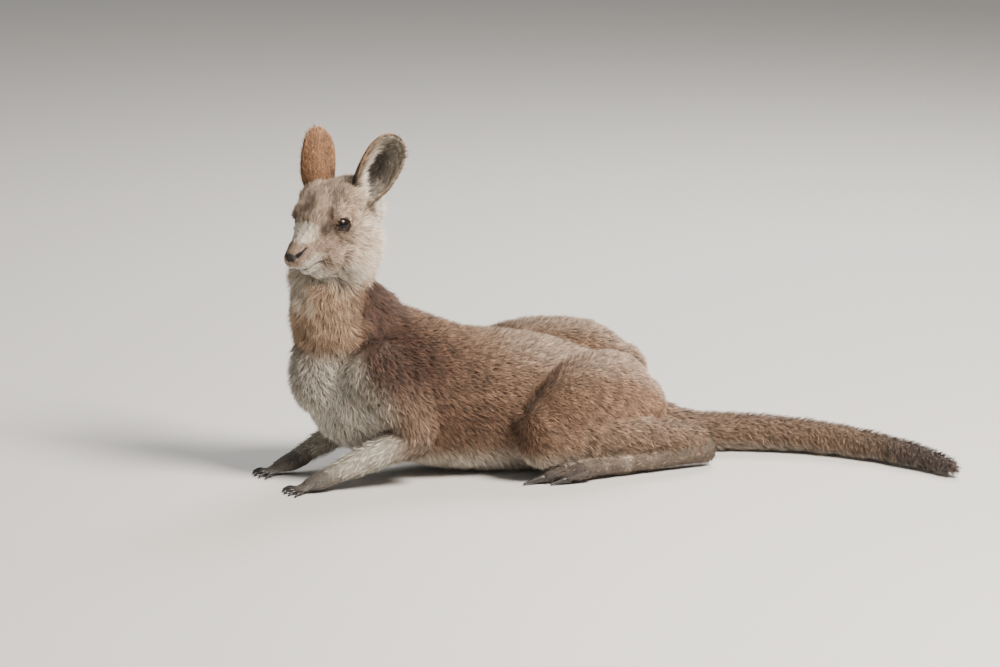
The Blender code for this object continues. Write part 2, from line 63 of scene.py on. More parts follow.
# Degrees of the eyeball that the lids leave bare: along, and across above and below.
EYE_HALF_WIDE = 56.0
EYE_ABOVE = 28.0
EYE_BELOW = 44.0
PUPIL = (33.0, 24.0)           # degrees from the axis to the pupil's edge, along and across
LID_GAP = 0.11                 # cm from the eyeball to the skin round it
SOCKET = 0.72                  # how deep the skin lies behind the eyeball, as a share of its radius
EAR_ROOT = (-4.0, 2.8, 1.3)
EAR_LENGTH = 7.35
EAR_HALF_WIDTH = 2.69
EAR_COAT = 0.06                # depth of the coat on the ear's edge
EAR_OPENING = {1.0: 32.0, -1.0: -8.0}    # degrees forward of straight out, left and right
EAR_ALONG = {1.0: (-0.34, 0.42, 0.84), -1.0: (-0.35, 0.38, 0.85)}    # forward, outward, up

# ---------------------------------------------------------------- stations: x, y, z, half width and height
TRUNK = (
    (0.0, -18.1, 12.6, 4.2, 5.8), (0.0, -15.8, 11.9, 6.0, 7.6), (0.0, -12.5, 10.9, 7.0, 8.4),
    (0.0, -8.5, 9.6, 7.3, 8.3), (0.0, -4.0, 8.2, 7.7, 8.0), (0.2, 1.0, 7.4, 8.0, 8.0),
    (0.6, 6.0, 6.6, 7.8, 7.7), (0.9, 11.0, 6.0, 6.8, 6.4), (0.8, 15.0, 5.3, 5.2, 4.7),
)
NECK = (
    (0.0, -13.5, 11.0, 6.0, 7.6), (0.0, -15.2, 15.5, 5.3, 6.9), (0.1, -17.0, 19.5, 4.4, 5.35),
    (0.3, -17.5, 22.5, 4.1, 4.65), (0.7, -16.95, 25.0, 4.0, 4.5), (1.0, -16.3, 27.2, 3.7, 3.95),
)
TAIL = (
    (0.8, 14.0, 6.0, 4.0, 3.8), (0.8, 17.4, 4.6, 3.5, 3.4), (0.9, 20.4, 3.1, 2.9, 2.9),
    (1.4, 24.3, 2.2, 2.5, 2.4), (3.4, 30.0, 2.05, 2.3, 2.2), (7.6, 36.0, 1.85, 2.05, 2.0),
    (13.2, 40.6, 1.6, 1.8, 1.75), (19.4, 43.6, 1.35, 1.45, 1.45), (23.8, 45.0, 1.1, 1.1, 1.1),
)
LEFT_THIGH = (
    (4.4, 16.4, 6.0, 3.2, 3.9), (5.2, 13.4, 6.8, 4.6, 5.9), (6.4, 9.5, 6.9, 4.7, 6.3),
    (7.9, 5.6, 5.9, 4.2, 5.4), (8.8, 3.2, 5.2, 3.2, 4.2),
)
RIGHT_THIGH = (
    (-3.0, 17.4, 8.3, 3.2, 3.8), (-3.9, 14.0, 8.7, 4.5, 5.7), (-4.6, 9.5, 9.1, 4.6, 6.1),
    (-5.4, 5.6, 8.7, 4.3, 6.1), (-6.4, 3.0, 7.8, 3.4, 5.2),
)
SHANK = (
    (9.0, 4.6, 5.3, 2.9, 3.4), (9.1, 10.0, 4.7, 2.4, 2.7), (8.8, 16.0, 3.9, 2.0, 2.1),
    (8.5, 21.2, 3.2, 1.8, 1.9),
)
FOOT = (
    (8.5, 22.4, 1.8, 1.6, 1.9), (8.9, 17.0, 1.3, 1.6, 1.5), (9.5, 11.0, 1.15, 1.7, 1.35),
    (10.0, 6.8, 1.05, 1.8, 1.25),
)
UPPER_ARM = (
    (4.8, -14.4, 13.4, 3.2, 4.0), (5.9, -12.2, 9.8, 2.9, 3.4), (6.4, -10.6, 7.0, 2.3, 2.6),
    (6.5, -10.2, 5.4, 1.9, 2.1),
)
FOREARM = (
    (6.4, -10.2, 5.3, 2.0, 2.2), (6.0, -13.4, 4.3, 1.9, 2.0), (5.3, -16.8, 2.9, 1.6, 1.6),
    (4.9, -19.2, 1.9, 1.35, 1.3),
)
HAND = ((4.9, -19.0, 1.8, 1.3, 1.2), (4.7, -20.8, 1.05, 1.45, 1.15), (4.6, -21.8, 0.75, 1.3, 0.95))
# Head stations: forward, up, half width, half height.
SKULL = (
    (5.5, -0.8, 1.65, 1.6), (4.6, -0.85, 1.95, 2.0), (3.4, -0.85, 2.25, 2.3), (2.1, -0.75, 2.6, 2.7),
    (0.6, -0.5, 3.05, 3.05), (-1.0, -0.3, 3.5, 3.3), (-3.0, -0.3, 3.75, 3.4), (-5.0, -0.5, 3.5, 3.2),
)
HEAD_BALLS = {    # forward, outward, up, then the three radii; those on the middle line are single
    "brow": (-0.5, 2.35, 1.1, 1.9, 1.35, 1.35),
    "cheek": (-1.8, 2.2, -1.3, 2.6, 1.6, 2.1),
    "ear base": (-4.0, 2.5, 1.0, 1.9, 1.6, 1.8),
    "temple": (-2.6, 2.5, 1.8, 2.3, 1.7, 1.6),
    "jaw": (-1.0, 1.8, -3.9, 3.2, 2.0, 2.4),
    "gullet": (1.6, 0.0, -3.5, 2.8, 1.6, 1.4),
    "chin": (3.9, 0.0, -2.6, 1.75, 1.05, 0.95),
    "chewing muscle": (1.4, 1.3, -2.5, 2.3, 1.4, 1.6),
}
# Toes: outward offset from the foot's middle line, y of the root, y of the end, radius, claw length.
TOES = {
    "fourth": (0.1, 7.2, 3.4, 1.0, 2.0), "fifth": (1.35, 7.6, 5.2, 0.75, 1.3),
    "second_third": (-1.15, 7.8, 6.2, 0.6, 0.9),
}
FINGERS = {"first": -34.0, "second": -17.0, "third": 0.0, "fourth": 17.0, "fifth": 34.0}
FINGER_RADIUS = 0.42
FINGER_LENGTH = 1.7
FINGER_CLAW = 1.1
FINGER_START = 0.6      # from the middle of the palm to the root of a finger
TOE_COAT = 0.1          # depth of the coat on toes and fingers
FINGER_COAT = 0.05
TOE_SPLAY = 0.06        # sideways for each centimetre forward

# ---------------------------------------------------------------- the coat, by the part it grows on
# depth of coat over the skin and length of hair (cm), spread of a tuft and width of a hair (mm),
# and the angles at which a hair leaves the skin and at which it ends (degrees)
COAT = {
    "head": (0.32, 0.8, 0.7, 0.32, 42.0, 20.0),
    "neck": (0.9, 1.6, 1.0, 0.38, 42.0, 18.0),
    "trunk": (0.62, 0.86, 0.8, 0.38, 54.0, 30.0),
    "thigh": (0.56, 0.78, 0.8, 0.38, 54.0, 30.0),
    "shank": (0.4, 0.75, 0.8, 0.36, 46.0, 20.0),
    "foot": (0.22, 0.5, 0.9, 0.34, 28.0, 10.0),
    "arm": (0.55, 1.0, 0.8, 0.38, 50.0, 24.0),
    "forearm": (0.35, 0.75, 0.9, 0.36, 38.0, 14.0),
    "hand": (0.16, 0.4, 0.8, 0.3, 22.0, 8.0),
    "tail": (0.45, 0.85, 0.9, 0.38, 44.0, 20.0),
    "ear": (0.0, 0.5, 0.55, 0.34, 36.0, 20.0),
}
# Spread of the brightness from tuft to tuft, from hair to hair and from clump to clump, the width of a
# clump's wave (m), and the spread of the hair's turn about the skin (radians).
TUFT_TONE = 0.28
HAIR_TONE = 0.2
CLUMP_TONE = 0.24
CLUMP_WAVE = 0.005
TUFT_TURN = 0.27
LENGTH_VARIES = 0.16   # spread of a hair's length, as a share of it
RISE_VARIES = 0.13     # spread of the angles at which hairs leave the skin and end (radians)
LIE_VARIES = 0.1
SWAY_VARIES = 0.09     # spread of a tuft's bend to the side, as a share of its length
HAIR_ROLL = 0.8        # the most a hair is rolled about its own length (radians)
ROOT_DEPTH = 0.0004    # metres that a root stands under the skin
LOWEST_HAIR = 0.0006   # metres above the floor
UNDERSIDE = 0.0042     # metres above the floor under which little hair grows
BARE_UNDER = 0.35      # no tuft stands where the coat is thinner than this
BENDS = 1              # bends in a hair
DARK_HAIRS = 0.15      # share of the hairs that are half as bright
DEPTH_TONE = ((0.0, 0.35, 0.75, 1.0), (0.38, 0.75, 1.1, 1.35))    # brightness along a hair, root to tip
UNDER_TONE = 0.55      # brightness of the skin under its coat
COLOUR_LAYER = "coat_colour"
PATCH = 0.003          # width of a tuft's patch on the unwrap
REGIONS = tuple(COAT)
COAT_TABLE = np.array([COAT[name] for name in REGIONS])


def head_axes():
    """Rows forward, left, up of the head: turned about Z, pitched about its left, then rolled."""
    turn, pitch, roll = (math.radians(v) for v in (HEAD_TURN, HEAD_PITCH, HEAD_ROLL))
    level = np.array((math.sin(turn), -math.cos(turn), 0.0))
    left = np.array((math.cos(turn), math.sin(turn), 0.0))
    forward = rotated(level, left, pitch)
    left = rotated(left, forward, roll)
    return np.array((forward, left, np.cross(forward, left)))


def rotated(v, axis, angle):
    """v cos a + (axis x v) sin a + axis (axis . v)(1 - cos a), row by row."""
    axis = np.asarray(axis, float)
    dot = (v * axis).sum(-1, keepdims=True)
    return v * np.cos(angle) + np.cross(axis, v) * np.sin(angle) + axis * dot * (1.0 - np.cos(angle))


HEAD = head_axes()


def to_head(points):
    """World metres to head centimetres: forward, left, up."""
    return (points - HEAD_CENTRE) @ HEAD.T / CM


def from_head(places):
    """Head centimetres to world metres."""
    return HEAD_CENTRE + np.asarray(places, float) @ HEAD * CM


def unit(v):
    """v divided by its length, row by row."""
    return v / np.maximum(np.linalg.norm(v, axis=-1, keepdims=True), 1e-12)


def smooth_step(x, low, high):
    """0 below low, 1 above high, 3t^2 - 2t^3 between."""
    t = np.clip((x - low) / (high - low), 0.0, 1.0)
    return t * t * (3.0 - 2.0 * t)


def fading(x, low, high):
    """1 below low, 0 above high: what is left of 1 by smooth_step."""
    return 1.0 - smooth_step(x, low, high)


def bump(points, centre, radii):
    """exp(-d^2) where d is the distance from the centre measured in radii."""
    return np.exp(-(((points - np.asarray(centre)) / np.asarray(radii)) ** 2).sum(-1))


def ripple(points, wave, seed, terms=6):
    """A smooth irregular value about 0 with spread 1: the sum of sin(k . p + c) over random directions, for
    wavelengths from 0.7 to 1.4 of the one given in metres."""
    rng = np.random.default_rng(seed)
    k = unit(rng.normal(size=(terms, 3))) * TAU / wave / rng.uniform(0.7, 1.4, (terms, 1))
    return np.sin(points @ k.T + rng.uniform(0.0, TAU, terms)).sum(-1) * math.sqrt(2.0 / terms)


def station_curve(rows, steps):
    """Stations joined by a Catmull-Rom curve through every column, steps points to each span."""
    rows = np.asarray(rows, float)
    ends = np.vstack([2 * rows[:1] - rows[1:2], rows, 2 * rows[-1:] - rows[-2:-1]])
    a, b, c, d = (ends[k:len(ends) - 3 + k, None] for k in range(4))
    t = (np.arange(steps) / steps)[None, :, None]
    square, cube = 2 * a - 5 * b + 4 * c - d, 3 * b - a - 3 * c + d
    spans = 0.5 * (2 * b + (c - a) * t + square * t**2 + cube * t**3)
    return np.vstack([spans.reshape(-1, rows.shape[1]), rows[-1:]])


def mass(rows, up=(0, 0, 1), sides=28, steps=6, inset=0.0, blunt=1.0):
    """An elliptic tube along a curve: point(i, k) = centre_i + w_i cos(a_k) side_i + h_i sin(a_k) top_i,
    with half sizes less the inset, and ends rounded by rings at 25, 50 and 72 degrees of a quarter turn."""
    rows = station_curve(rows, steps)
    centre, half = rows[:, :3], np.maximum(rows[:, 3:5] - inset, 0.12)
    along = unit(np.gradient(centre, axis=0))
    side = unit(np.cross(along, up))
    top = np.cross(side, along)
    reach0, reach1 = half[0].min() * blunt, half[-1].min() * blunt
    lift = np.radians((72.0, 50.0, 25.0))[:, None]
    first = [centre[0] - np.sin(lift) * reach0 * along[0], np.cos(lift) * half[0]]
    last = [centre[-1] + np.sin(lift[::-1]) * reach1 * along[-1], np.cos(lift[::-1]) * half[-1]]
    centre_all = np.vstack([first[0], centre, last[0]])
    half_all = np.vstack([first[1], half, last[1]])
    pick = np.clip(np.arange(len(centre_all)) - 3, 0, len(centre) - 1)
    turn = TAU * np.arange(sides) / sides
    grid = (centre_all[:, None] + (half_all[:, :1] * np.cos(turn))[:, :, None] * side[pick][:, None]
            + (half_all[:, 1:] * np.sin(turn))[:, :, None] * top[pick][:, None])
    tips = np.array((centre[0] - reach0 * along[0], centre[-1] + reach1 * along[-1]))
    return {"grid": grid, "tips": tips, "centre": centre, "half": half,
            "along": along, "side": side, "top": top}


def tube_faces(rings, sides):
    """Two triangles to each cell of a closed tube and a fan at each end; the two tip points come last."""
    i, k = np.meshgrid(np.arange(rings - 1), np.arange(sides), indexing="ij")
    a, b = (i * sides + k).ravel(), (i * sides + (k + 1) % sides).ravel()
    ring = np.arange(sides)
    last, tip = (rings - 1) * sides, rings * sides
    turn = (ring + 1) % sides
    start_fan = np.stack([np.full(sides, tip), turn, ring], 1)
    end_fan = np.stack([np.full(sides, tip + 1), last + ring, last + turn], 1)
    cells = [np.stack([a, b, b + sides], 1), np.stack([a, b + sides, a + sides], 1)]
    return np.vstack([*cells, start_fan, end_fan])


def tube_mesh(made):
    """Points in metres and triangles of a mass."""
    rings, sides = made["grid"].shape[:2]
    points = np.vstack([made["grid"].reshape(-1, 3), made["tips"]]) * CM
    return points, tube_faces(rings, sides)


def ball_mesh(centre, radii, axes, rings=24, sides=32):
    """Point(i, k) = centre + radii (cos b_i, sin b_i cos a_k, sin b_i sin a_k) in the axes, closed."""
    polar = (np.pi * np.arange(1, rings) / rings)[:, None]
    turn = TAU * np.arange(sides) / sides
    ahead = np.broadcast_to(np.cos(polar), (rings - 1, sides))
    local = np.stack([ahead, np.sin(polar) * np.cos(turn), np.sin(polar) * np.sin(turn)], -1)
    local = np.vstack([local.reshape(-1, 3), (1.0, 0, 0), (-1.0, 0, 0)])
    return centre + (local * np.asarray(radii) * CM) @ axes, tube_faces(rings - 1, sides), local


def joined(parts):
    """Several (points, faces) as one."""
    start = np.cumsum([0] + [len(p) for p, _ in parts[:-1]])
    return np.vstack([p for p, _ in parts]), np.vstack([f + s for (_, f), s in zip(parts, start)])


def new_mesh(name, points, faces):
    """A mesh object of triangles or quads, shaded smooth."""
    points, faces = np.asarray(points, np.float32), np.asarray(faces, np.int32)
    mesh = bpy.data.meshes.new(name)
    mesh.vertices.add(len(points))
    mesh.vertices.foreach_set("co", points.ravel())
    mesh.loops.add(faces.size)
    mesh.loops.foreach_set("vertex_index", faces.ravel())
    mesh.polygons.add(len(faces))
    mesh.polygons.foreach_set("loop_start", np.arange(0, faces.size, faces.shape[1], dtype=np.int32))
    mesh.update(calc_edges=True)
    mesh.shade_smooth()
    obj = bpy.data.objects.new(name, mesh)
    bpy.context.scene.collection.objects.link(obj)
    return obj


def read_mesh(mesh):
    """(points, triangles) of a mesh."""
    mesh.calc_loop_triangles()
    points = np.empty(len(mesh.vertices) * 3, np.float32)
    mesh.vertices.foreach_get("co", points)
    faces = np.empty(len(mesh.loop_triangles) * 3, np.int32)
    mesh.loop_triangles.foreach_get("vertices", faces)
    return points.reshape(-1, 3).astype(float), faces.reshape(-1, 3)


def paint(obj, colours):
    """A colour for each point, kept as a point attribute."""
    layer = obj.data.color_attributes.new(COLOUR_LAYER, "FLOAT_COLOR", "POINT")
    opaque = np.hstack([colours, np.ones((len(colours), 1))])
    layer.data.foreach_set("color", opaque.astype(np.float32).ravel())


# ---------------------------------------------------------------- masses of the body
def mirrored(rows):
    """Stations carried to the other side of the body."""
    return tuple((-row[0], *row[1:]) for row in rows)


def toe_rows(side, name):
    """Stations of one toe, root to end."""
    offset, root, end, radius, _ = TOES[name]
    middle = FOOT[-1][0] + offset
    stops = (
        (root, 0.95, radius),
        ((root + end) / 2, 0.88 * radius, 0.97 * radius),
        (end, 0.74 * radius, 0.8 * radius),
    )
    return tuple((side * (middle + (root - y) * TOE_SPLAY), y, z, r, r) for y, z, r in stops)


def finger_rows(side, spread, stops, start=FINGER_START, length=FINGER_LENGTH):
    """Stations of one finger or its claw: (share of length, z, radius) for each."""
    turn = math.radians(spread)
    x, y = HAND[-1][0], HAND[-1][1] + 0.5
    rows = []
    for share, z, radius in stops:
        far = start + length * share
        rows.append((side * (x + math.sin(turn) * far), y - math.cos(turn) * far, z, radius, radius))
    return tuple(rows)


def body_masses():
    """Every mass as (region, flow sign, mass): the sign says if hair runs with the stations or against."""
    def inner(region, rows, **shape):
        """A mass less the depth of its coat."""
        return mass(rows, inset=COAT[region][0], **shape)

    made = [("trunk", 1.0, inner("trunk", TRUNK, sides=40)),
            ("neck", -1.0, inner("neck", NECK, sides=36, up=(0, -1, 0))),
            ("tail", 1.0, inner("tail", TAIL)),
            ("thigh", -1.0, inner("thigh", LEFT_THIGH, sides=32)),
            ("thigh", -1.0, inner("thigh", RIGHT_THIGH, sides=32))]
    finger = tuple((share, z, thick * FINGER_RADIUS)
                   for share, z, thick in ((0.0, 0.6, 1.0), (0.6, 0.42, 0.95), (1.0, 0.32, 0.8)))
    for side in (1.0, -1.0):
        flip = tuple if side > 0 else mirrored
        made.append(("shank", 1.0, inner("shank", flip(SHANK))))
        made.append(("foot", 1.0, inner("foot", flip(FOOT))))
        made.append(("arm", 1.0, inner("arm", flip(UPPER_ARM), up=(0, -1, 0))))
        made.append(("forearm", 1.0, inner("forearm", flip(FOREARM))))
        made.append(("hand", 1.0, inner("hand", flip(HAND))))
        made += [("foot", 1.0, mass(toe_rows(side, toe), sides=16, inset=TOE_COAT)) for toe in TOES]
        made += [("hand", 1.0, mass(finger_rows(side, spread, finger), sides=12, inset=FINGER_COAT))
                 for spread in FINGERS.values()]
    return made


def head_mass():
    """The skull and muzzle as a mass in head centimetres, carried to world centimetres."""
    rows = [(f, 0.0, u, w, h) for f, u, w, h in SKULL]
    made = mass(rows, sides=44, steps=10, inset=COAT["head"][0], blunt=0.75)
    for key in ("grid", "tips", "centre"):
        made[key] = from_head(made[key]) / CM
    for key in ("along", "side", "top"):
        made[key] = made[key] @ HEAD
    return made


def ear_axes(side):
    """An ear's own axis, the way it opens and the way across it."""
    level = unit(HEAD[0] * (1, 1, 0))
    out = np.array((-level[1], level[0], 0.0)) * side
    along = unit(EAR_ALONG[side] @ np.array((level, out, (0.0, 0.0, 1.0))))
    facing = math.radians(EAR_OPENING[side])
    opening = math.cos(facing) * out + math.sin(facing) * level
    opening = unit(opening - along * opening.dot(along))
    return along, opening, np.cross(along, opening)


def ear_grid(side, rows=44, columns=25):
    """A cupped leaf on a solid root. At share s of its length the ear is an arc of a circle whose half width
    is 2.69 (0.5 + 0.95 s - 0.42 s^2) sqrt(1 - 0.993 s^3.2) cm and whose half angle falls from 108 to 52
    degrees. Returns the outer and the inner grid."""
    along, opening, across = ear_axes(side)
    root = from_head(on_side(EAR_ROOT, side)) / CM
    share = 1.0 - (1.0 - np.linspace(0.0, 1.0, rows)) ** 1.5
    share = np.concatenate([[-0.14], share])
    s = np.maximum(share, 0.0)
    width = EAR_HALF_WIDTH * (0.5 + 0.95 * s - 0.42 * s**2) * np.sqrt(1.0 - 0.993 * s**3.2) - EAR_COAT
    arc = np.radians(np.interp(s, (0.0, 0.2, 0.45, 1.0), (108.0, 100.0, 82.0, 52.0)))
    thick = np.interp(s, (0.0, 0.5, 1.0), (0.34, 0.24, 0.16))
    hollow = np.interp(s, (0.02, 0.27), (0.0, 1.0))[:, None]
    radius = width / np.sin(np.minimum(arc, math.pi / 2))
    k = np.linspace(-1.0, 1.0, columns)
    turn = arc[:, None] * k
    far, near = (radius + thick / 2)[:, None], (radius - thick / 2)[:, None]
    deep = 0.4 * radius[:, None] - np.cos(turn) * near
    shallow = radius[:, None] * (0.4 - np.cos(arc)[:, None] + 0.1 * np.cos(k * math.pi / 2))
    floor = hollow * deep + (1.0 - hollow) * shallow
    spread = near * (hollow * np.sin(turn) + (1.0 - hollow) * np.sin(arc)[:, None] * k)
    middle = (root + along * (share * (EAR_LENGTH - EAR_COAT))[:, None])[:, None]
    sunk = 0.4 * radius[:, None] - np.cos(turn) * far
    outer = middle + across * (np.sin(turn) * far)[..., None] + opening * sunk[..., None]
    inner = middle + across * spread[..., None] + opening * floor[..., None]
    return outer * CM, inner * CM


def ear_mesh(side):
    """The ear's outer and inner sheets with a rim between them: points, faces, and what each point is. Its
    front runs from -1 on the edge away from the middle of the head to 1 on the edge nearer to it."""
    outer, inner = ear_grid(side)
    rows, columns = outer.shape[:2]
    i, k = np.meshgrid(np.arange(rows - 1), np.arange(columns - 1), indexing="ij")
    a = (i * columns + k).ravel()
    b = a + columns
    half = rows * columns
    sheets = [np.stack([a, a + 1, b + 1], 1), np.stack([a, b + 1, b], 1),
              half + np.stack([a, b + 1, a + 1], 1), half + np.stack([a, b, b + 1], 1)]
    left, right = np.arange(rows) * columns, np.arange(rows) * columns + columns - 1
    last = (rows - 1) * columns + np.arange(columns)
    rim = np.concatenate([np.arange(columns), right[1:], last[::-1][1:], left[::-1][1:]])
    r0, r1 = rim[:-1], rim[1:]
    sheets += [np.stack([r0, half + r1, r1], 1), np.stack([r0, half + r0, half + r1], 1)]
    points = np.vstack([outer.reshape(-1, 3), inner.reshape(-1, 3)])
    faces = np.vstack(sheets)[:, ::-1]
    share = np.tile(np.repeat(np.linspace(0.0, 1.0, rows), columns), 2)
    column = np.tile(np.tile(np.linspace(-1.0, 1.0, columns), rows), 2)
    inside = np.repeat((0.0, 1.0), half)
    along, _, across = ear_axes(side)
    inward = HEAD[1] * -side
    front = 1.0 if across @ inward > 0 else -1.0
    return points, faces, {"share": share, "column": column, "inside": inside, "along": along,
                           "across": across, "front": column * front, "sign": front}


# ---------------------------------------------------------------- the skin
def links_of(faces, count):
    """Edges of a triangle mesh, each once."""
    ends = np.sort(np.concatenate([faces[:, [j, (j + 1) % 3]] for j in range(3)]), axis=1)
    keys = np.unique(ends[:, 0].astype(np.int64) * count + ends[:, 1])
    return keys // count, keys % count


def averaged(values, a, b, count):
    """The mean of each point's neighbours."""
    columns = [np.bincount(a, v[b], count) + np.bincount(b, v[a], count) for v in values.T]
    many = np.bincount(a, minlength=count) + np.bincount(b, minlength=count)
    return np.stack(columns, 1) / np.maximum(many, 1)[:, None]


def relaxed(points, faces, passes):
    """Alternate steps of +0.5 and -0.52 toward the neighbours' mean, which smooths without shrinking."""
    a, b = links_of(faces, len(points))
    for step in (0.5, -0.52) * passes:
        points = points + step * (averaged(points, a, b, len(points)) - points)
    return points


def calmed(points, faces, passes=70):
    """The crown and the ears' roots smoothed by plain half steps toward the neighbours' mean."""
    a, b = links_of(faces, len(points))
    f, l, u = to_head(points).T
    weight = smooth_step(u, 0.7, 1.7) * fading(f, 1.8, 3.6) * smooth_step(f, -9.0, -7.0)
    off_eye = np.linalg.norm(np.stack([f, np.abs(l), u], 1) - EYE_AT, axis=1)
    weight *= smooth_step(off_eye, 1.3, 2.1)
    for _ in range(passes):
        points = points + 0.5 * weight[:, None] * (averaged(points, a, b, len(points)) - points)
    return points


def face_normals(points, faces):
    """The cross product of two sides of each triangle: twice its area, along its normal."""
    a, b, c = (points[faces[:, j]] for j in range(3))
    return np.cross(b - a, c - a)


def normals_of(points, faces):
    """Area-weighted point normals."""
    flat = face_normals(points, faces)
    total = [np.bincount(faces.ravel(), np.repeat(axis, 3), len(points)) for axis in flat.T]
    return unit(np.stack(total, 1))


def fused_body(parts):
    """The overlapping masses made one closed surface by a voxel remesh, its head divided more finely."""
    obj = new_mesh("fused", *joined(parts))
    grain = obj.modifiers.new("Fuse", "REMESH")
    grain.mode = "VOXEL"
    grain.voxel_size = VOXEL
    mesh = bpy.data.meshes.new_from_object(obj.evaluated_get(bpy.context.evaluated_depsgraph_get()))
    bpy.data.objects.remove(obj)
    work = bmesh.new()
    work.from_mesh(mesh)
    work.verts.ensure_lookup_table()
    for reach, centre in FINER:
        co = np.array([v.co for v in work.verts])
        near = np.linalg.norm(to_head(co) - centre, axis=1) < reach
        edges = [e for e in work.edges if near[e.verts[0].index] and near[e.verts[1].index]]
        bmesh.ops.subdivide_edges(work, edges=edges, cuts=1, use_grid_fill=True)
        work.verts.index_update()
    bmesh.ops.triangulate(work, faces=work.faces)
    work.to_mesh(mesh)
    work.free()
    return read_mesh(mesh)


def settled(points):
    """Lowest parts pressed flat on a level 3 mm up, so that the coat's own depth rests on the floor."""
    level, soft = 3.0 * MM, 4.0 * MM
    z = points[:, 2] - level
    pressed = soft * np.exp(np.minimum(z, soft) / soft - 1.0)
    points[:, 2] = level + np.where(z > soft, z, pressed)
    return points


def coat_field(points, masses):
    """For each point the lie of the hair as the blend of the masses' directions, the share of each region,
    and the nearest mass: the one from whose stations the distance, in its own half sizes, is least."""
    score = np.full((len(masses), len(points)), 9.0)
    lie = np.zeros((len(masses), len(points), 3))
    for m, (_, sign, made) in enumerate(masses):
        for start in range(0, len(points), 8000):
            best, reach = nearest_station(points[start:start + 8000], made)
            score[m, start:start + 8000] = reach
            lie[m, start:start + 8000] = made["along"][best] * sign
    share = np.exp(-9.0 * (score - score.min(0)))
    share /= share.sum(0)
    region = np.zeros((len(REGIONS), len(points)))
    for m, (name, _, _) in enumerate(masses):
        region[REGIONS.index(name)] += share[m]
    return (share[:, :, None] * lie).sum(0), region, score.argmin(0)


def nearest_station(points, made):
    """Which of every third station of a mass is nearest to each point, and how far in its half sizes."""
    pick = np.arange(0, len(made["centre"]), 3)
    centre, half = made["centre"][pick] * CM, made["half"][pick] * CM
    here = points[:, None] - centre
    across, above, ahead = ((here * made[key][pick]).sum(-1) for key in ("side", "top", "along"))
    d = (across / half[:, 0]) ** 2 + (above / half[:, 1]) ** 2 + (ahead / half.min(1)) ** 2
    best = d.argmin(1)
    return pick[best], np.sqrt(d[np.arange(len(best)), best])


# ---------------------------------------------------------------- features of the face
def on_side(place, side):
    """A place of the left half of the head, carried to the side asked for."""
    return np.array(place) * (1, side, 1)


def eye_axes(side):
    """Rows out, front, up of one eye in head coordinates."""
    out = unit(on_side(EYE_FACING, side))
    tilt = math.radians(EYE_TILT)
    level = np.array((math.cos(tilt), 0.0, math.sin(tilt)))
    front = unit(level - out * (out @ level))
    return np.array((out, front, np.cross(out, front) * side))


def lid_reach(turn):
    """Degrees from the eye's axis to the lid's edge at a turn from the front corner up round to the back: a
    flat arch above and a bowl below, each half an ellipse, drawn out to a point at the two corners."""
    above = np.sin(turn) > 0
    tall = np.where(above, EYE_ABOVE, EYE_BELOW)
    power = np.where(above, 2.5, 2.0)
    across, above = np.abs(np.cos(turn) / EYE_HALF_WIDE), np.abs(np.sin(turn) / tall)
    return (across**power + above**power) ** (-1.0 / power) + 6.0 * np.cos(turn) ** 14


def eye_polar(places, side):
    """Distance from an eye's centre (cm), degrees from its axis, and turn about it from the front up."""
    rel = (places - on_side(EYE_AT, side)) @ eye_axes(side).T
    away = np.linalg.norm(rel, axis=1)
    tilt = np.degrees(np.arccos(np.clip(rel[:, 0] / np.maximum(away, 1e-9), -1, 1)))
    return away, tilt, np.arctan2(rel[:, 2], rel[:, 1])


def opened_eyes(places):
    """Skin over the bare eyeball is sunk to 0.72 of its radius; skin round it stands 1.1 mm off the ball."""
    for side in (1.0, -1.0):
        away, tilt, turn = eye_polar(places, side)
        centre = on_side(EYE_AT, side)
        bare = (tilt < lid_reach(turn)) & (away < 2.0)
        lid = (tilt >= lid_reach(turn)) & (tilt < 115.0) & (away < EYE_RADIUS + LID_GAP)
        target = np.where(bare, SOCKET * EYE_RADIUS, np.where(lid, EYE_RADIUS + LID_GAP, away))
        places = centre + (places - centre) * (target / np.maximum(away, 1e-9))[:, None]
    return places


NOSTRIL = ((4.85, 1.22, 0.2), (5.4, 1.1, 0.08), (6.02, 0.7, -0.1))    # back, middle and front of the slit
NOSTRIL_WIDE = (0.12, 0.27)    # at the back and at the front
NOSE_PAD = (5.6, 0.0, 0.35)    # the short-haired top of the nose
NOSE_TIP = (6.45, 0.0, -0.12)  # the bare skin between the nostrils
# The mouth from its corner to the front: forward, up.
MOUTH = ((2.9, -2.45), (3.7, -2.4), (4.5, -2.2), (5.2, -2.25), (6.0, -1.85), (6.5, -1.4))
MOUTH_WIDE = 0.15
# How far each feature of the face stands out of the skin or is sunk into it (cm).
RELIEF = {
    "muzzle": 0.12, "rim": 0.13, "lip": 0.12, "pad": 0.05, "brow": 0.16,
    "nostril": -0.42, "mouth": -0.28, "cleft": -0.1,
}


def along_line(places, stops):
    """Distance (cm) of each place from a bent line, and how far along it is, 0 to 1."""
    best = np.full(len(places), 9.0)
    share = np.zeros(len(places))
    stops = np.asarray(stops, float)
    for j, (a, b) in enumerate(zip(stops[:-1], stops[1:])):
        t = np.clip(((places - a) @ (b - a)) / ((b - a) @ (b - a)), 0, 1)
        d = np.linalg.norm(places - a - t[:, None] * (b - a), axis=1)
        closer = d < best
        best[closer] = d[closer]
        share[closer] = ((j + t) / (len(stops) - 1))[closer]
    return best, share


def off_mouth(places):
    """How far (cm) each place is above or below the mouth, whose height is a bent line along the muzzle."""
    height = np.interp(places[:, 0], *np.array(MOUTH).T)
    return np.abs(places[:, 2] - height)


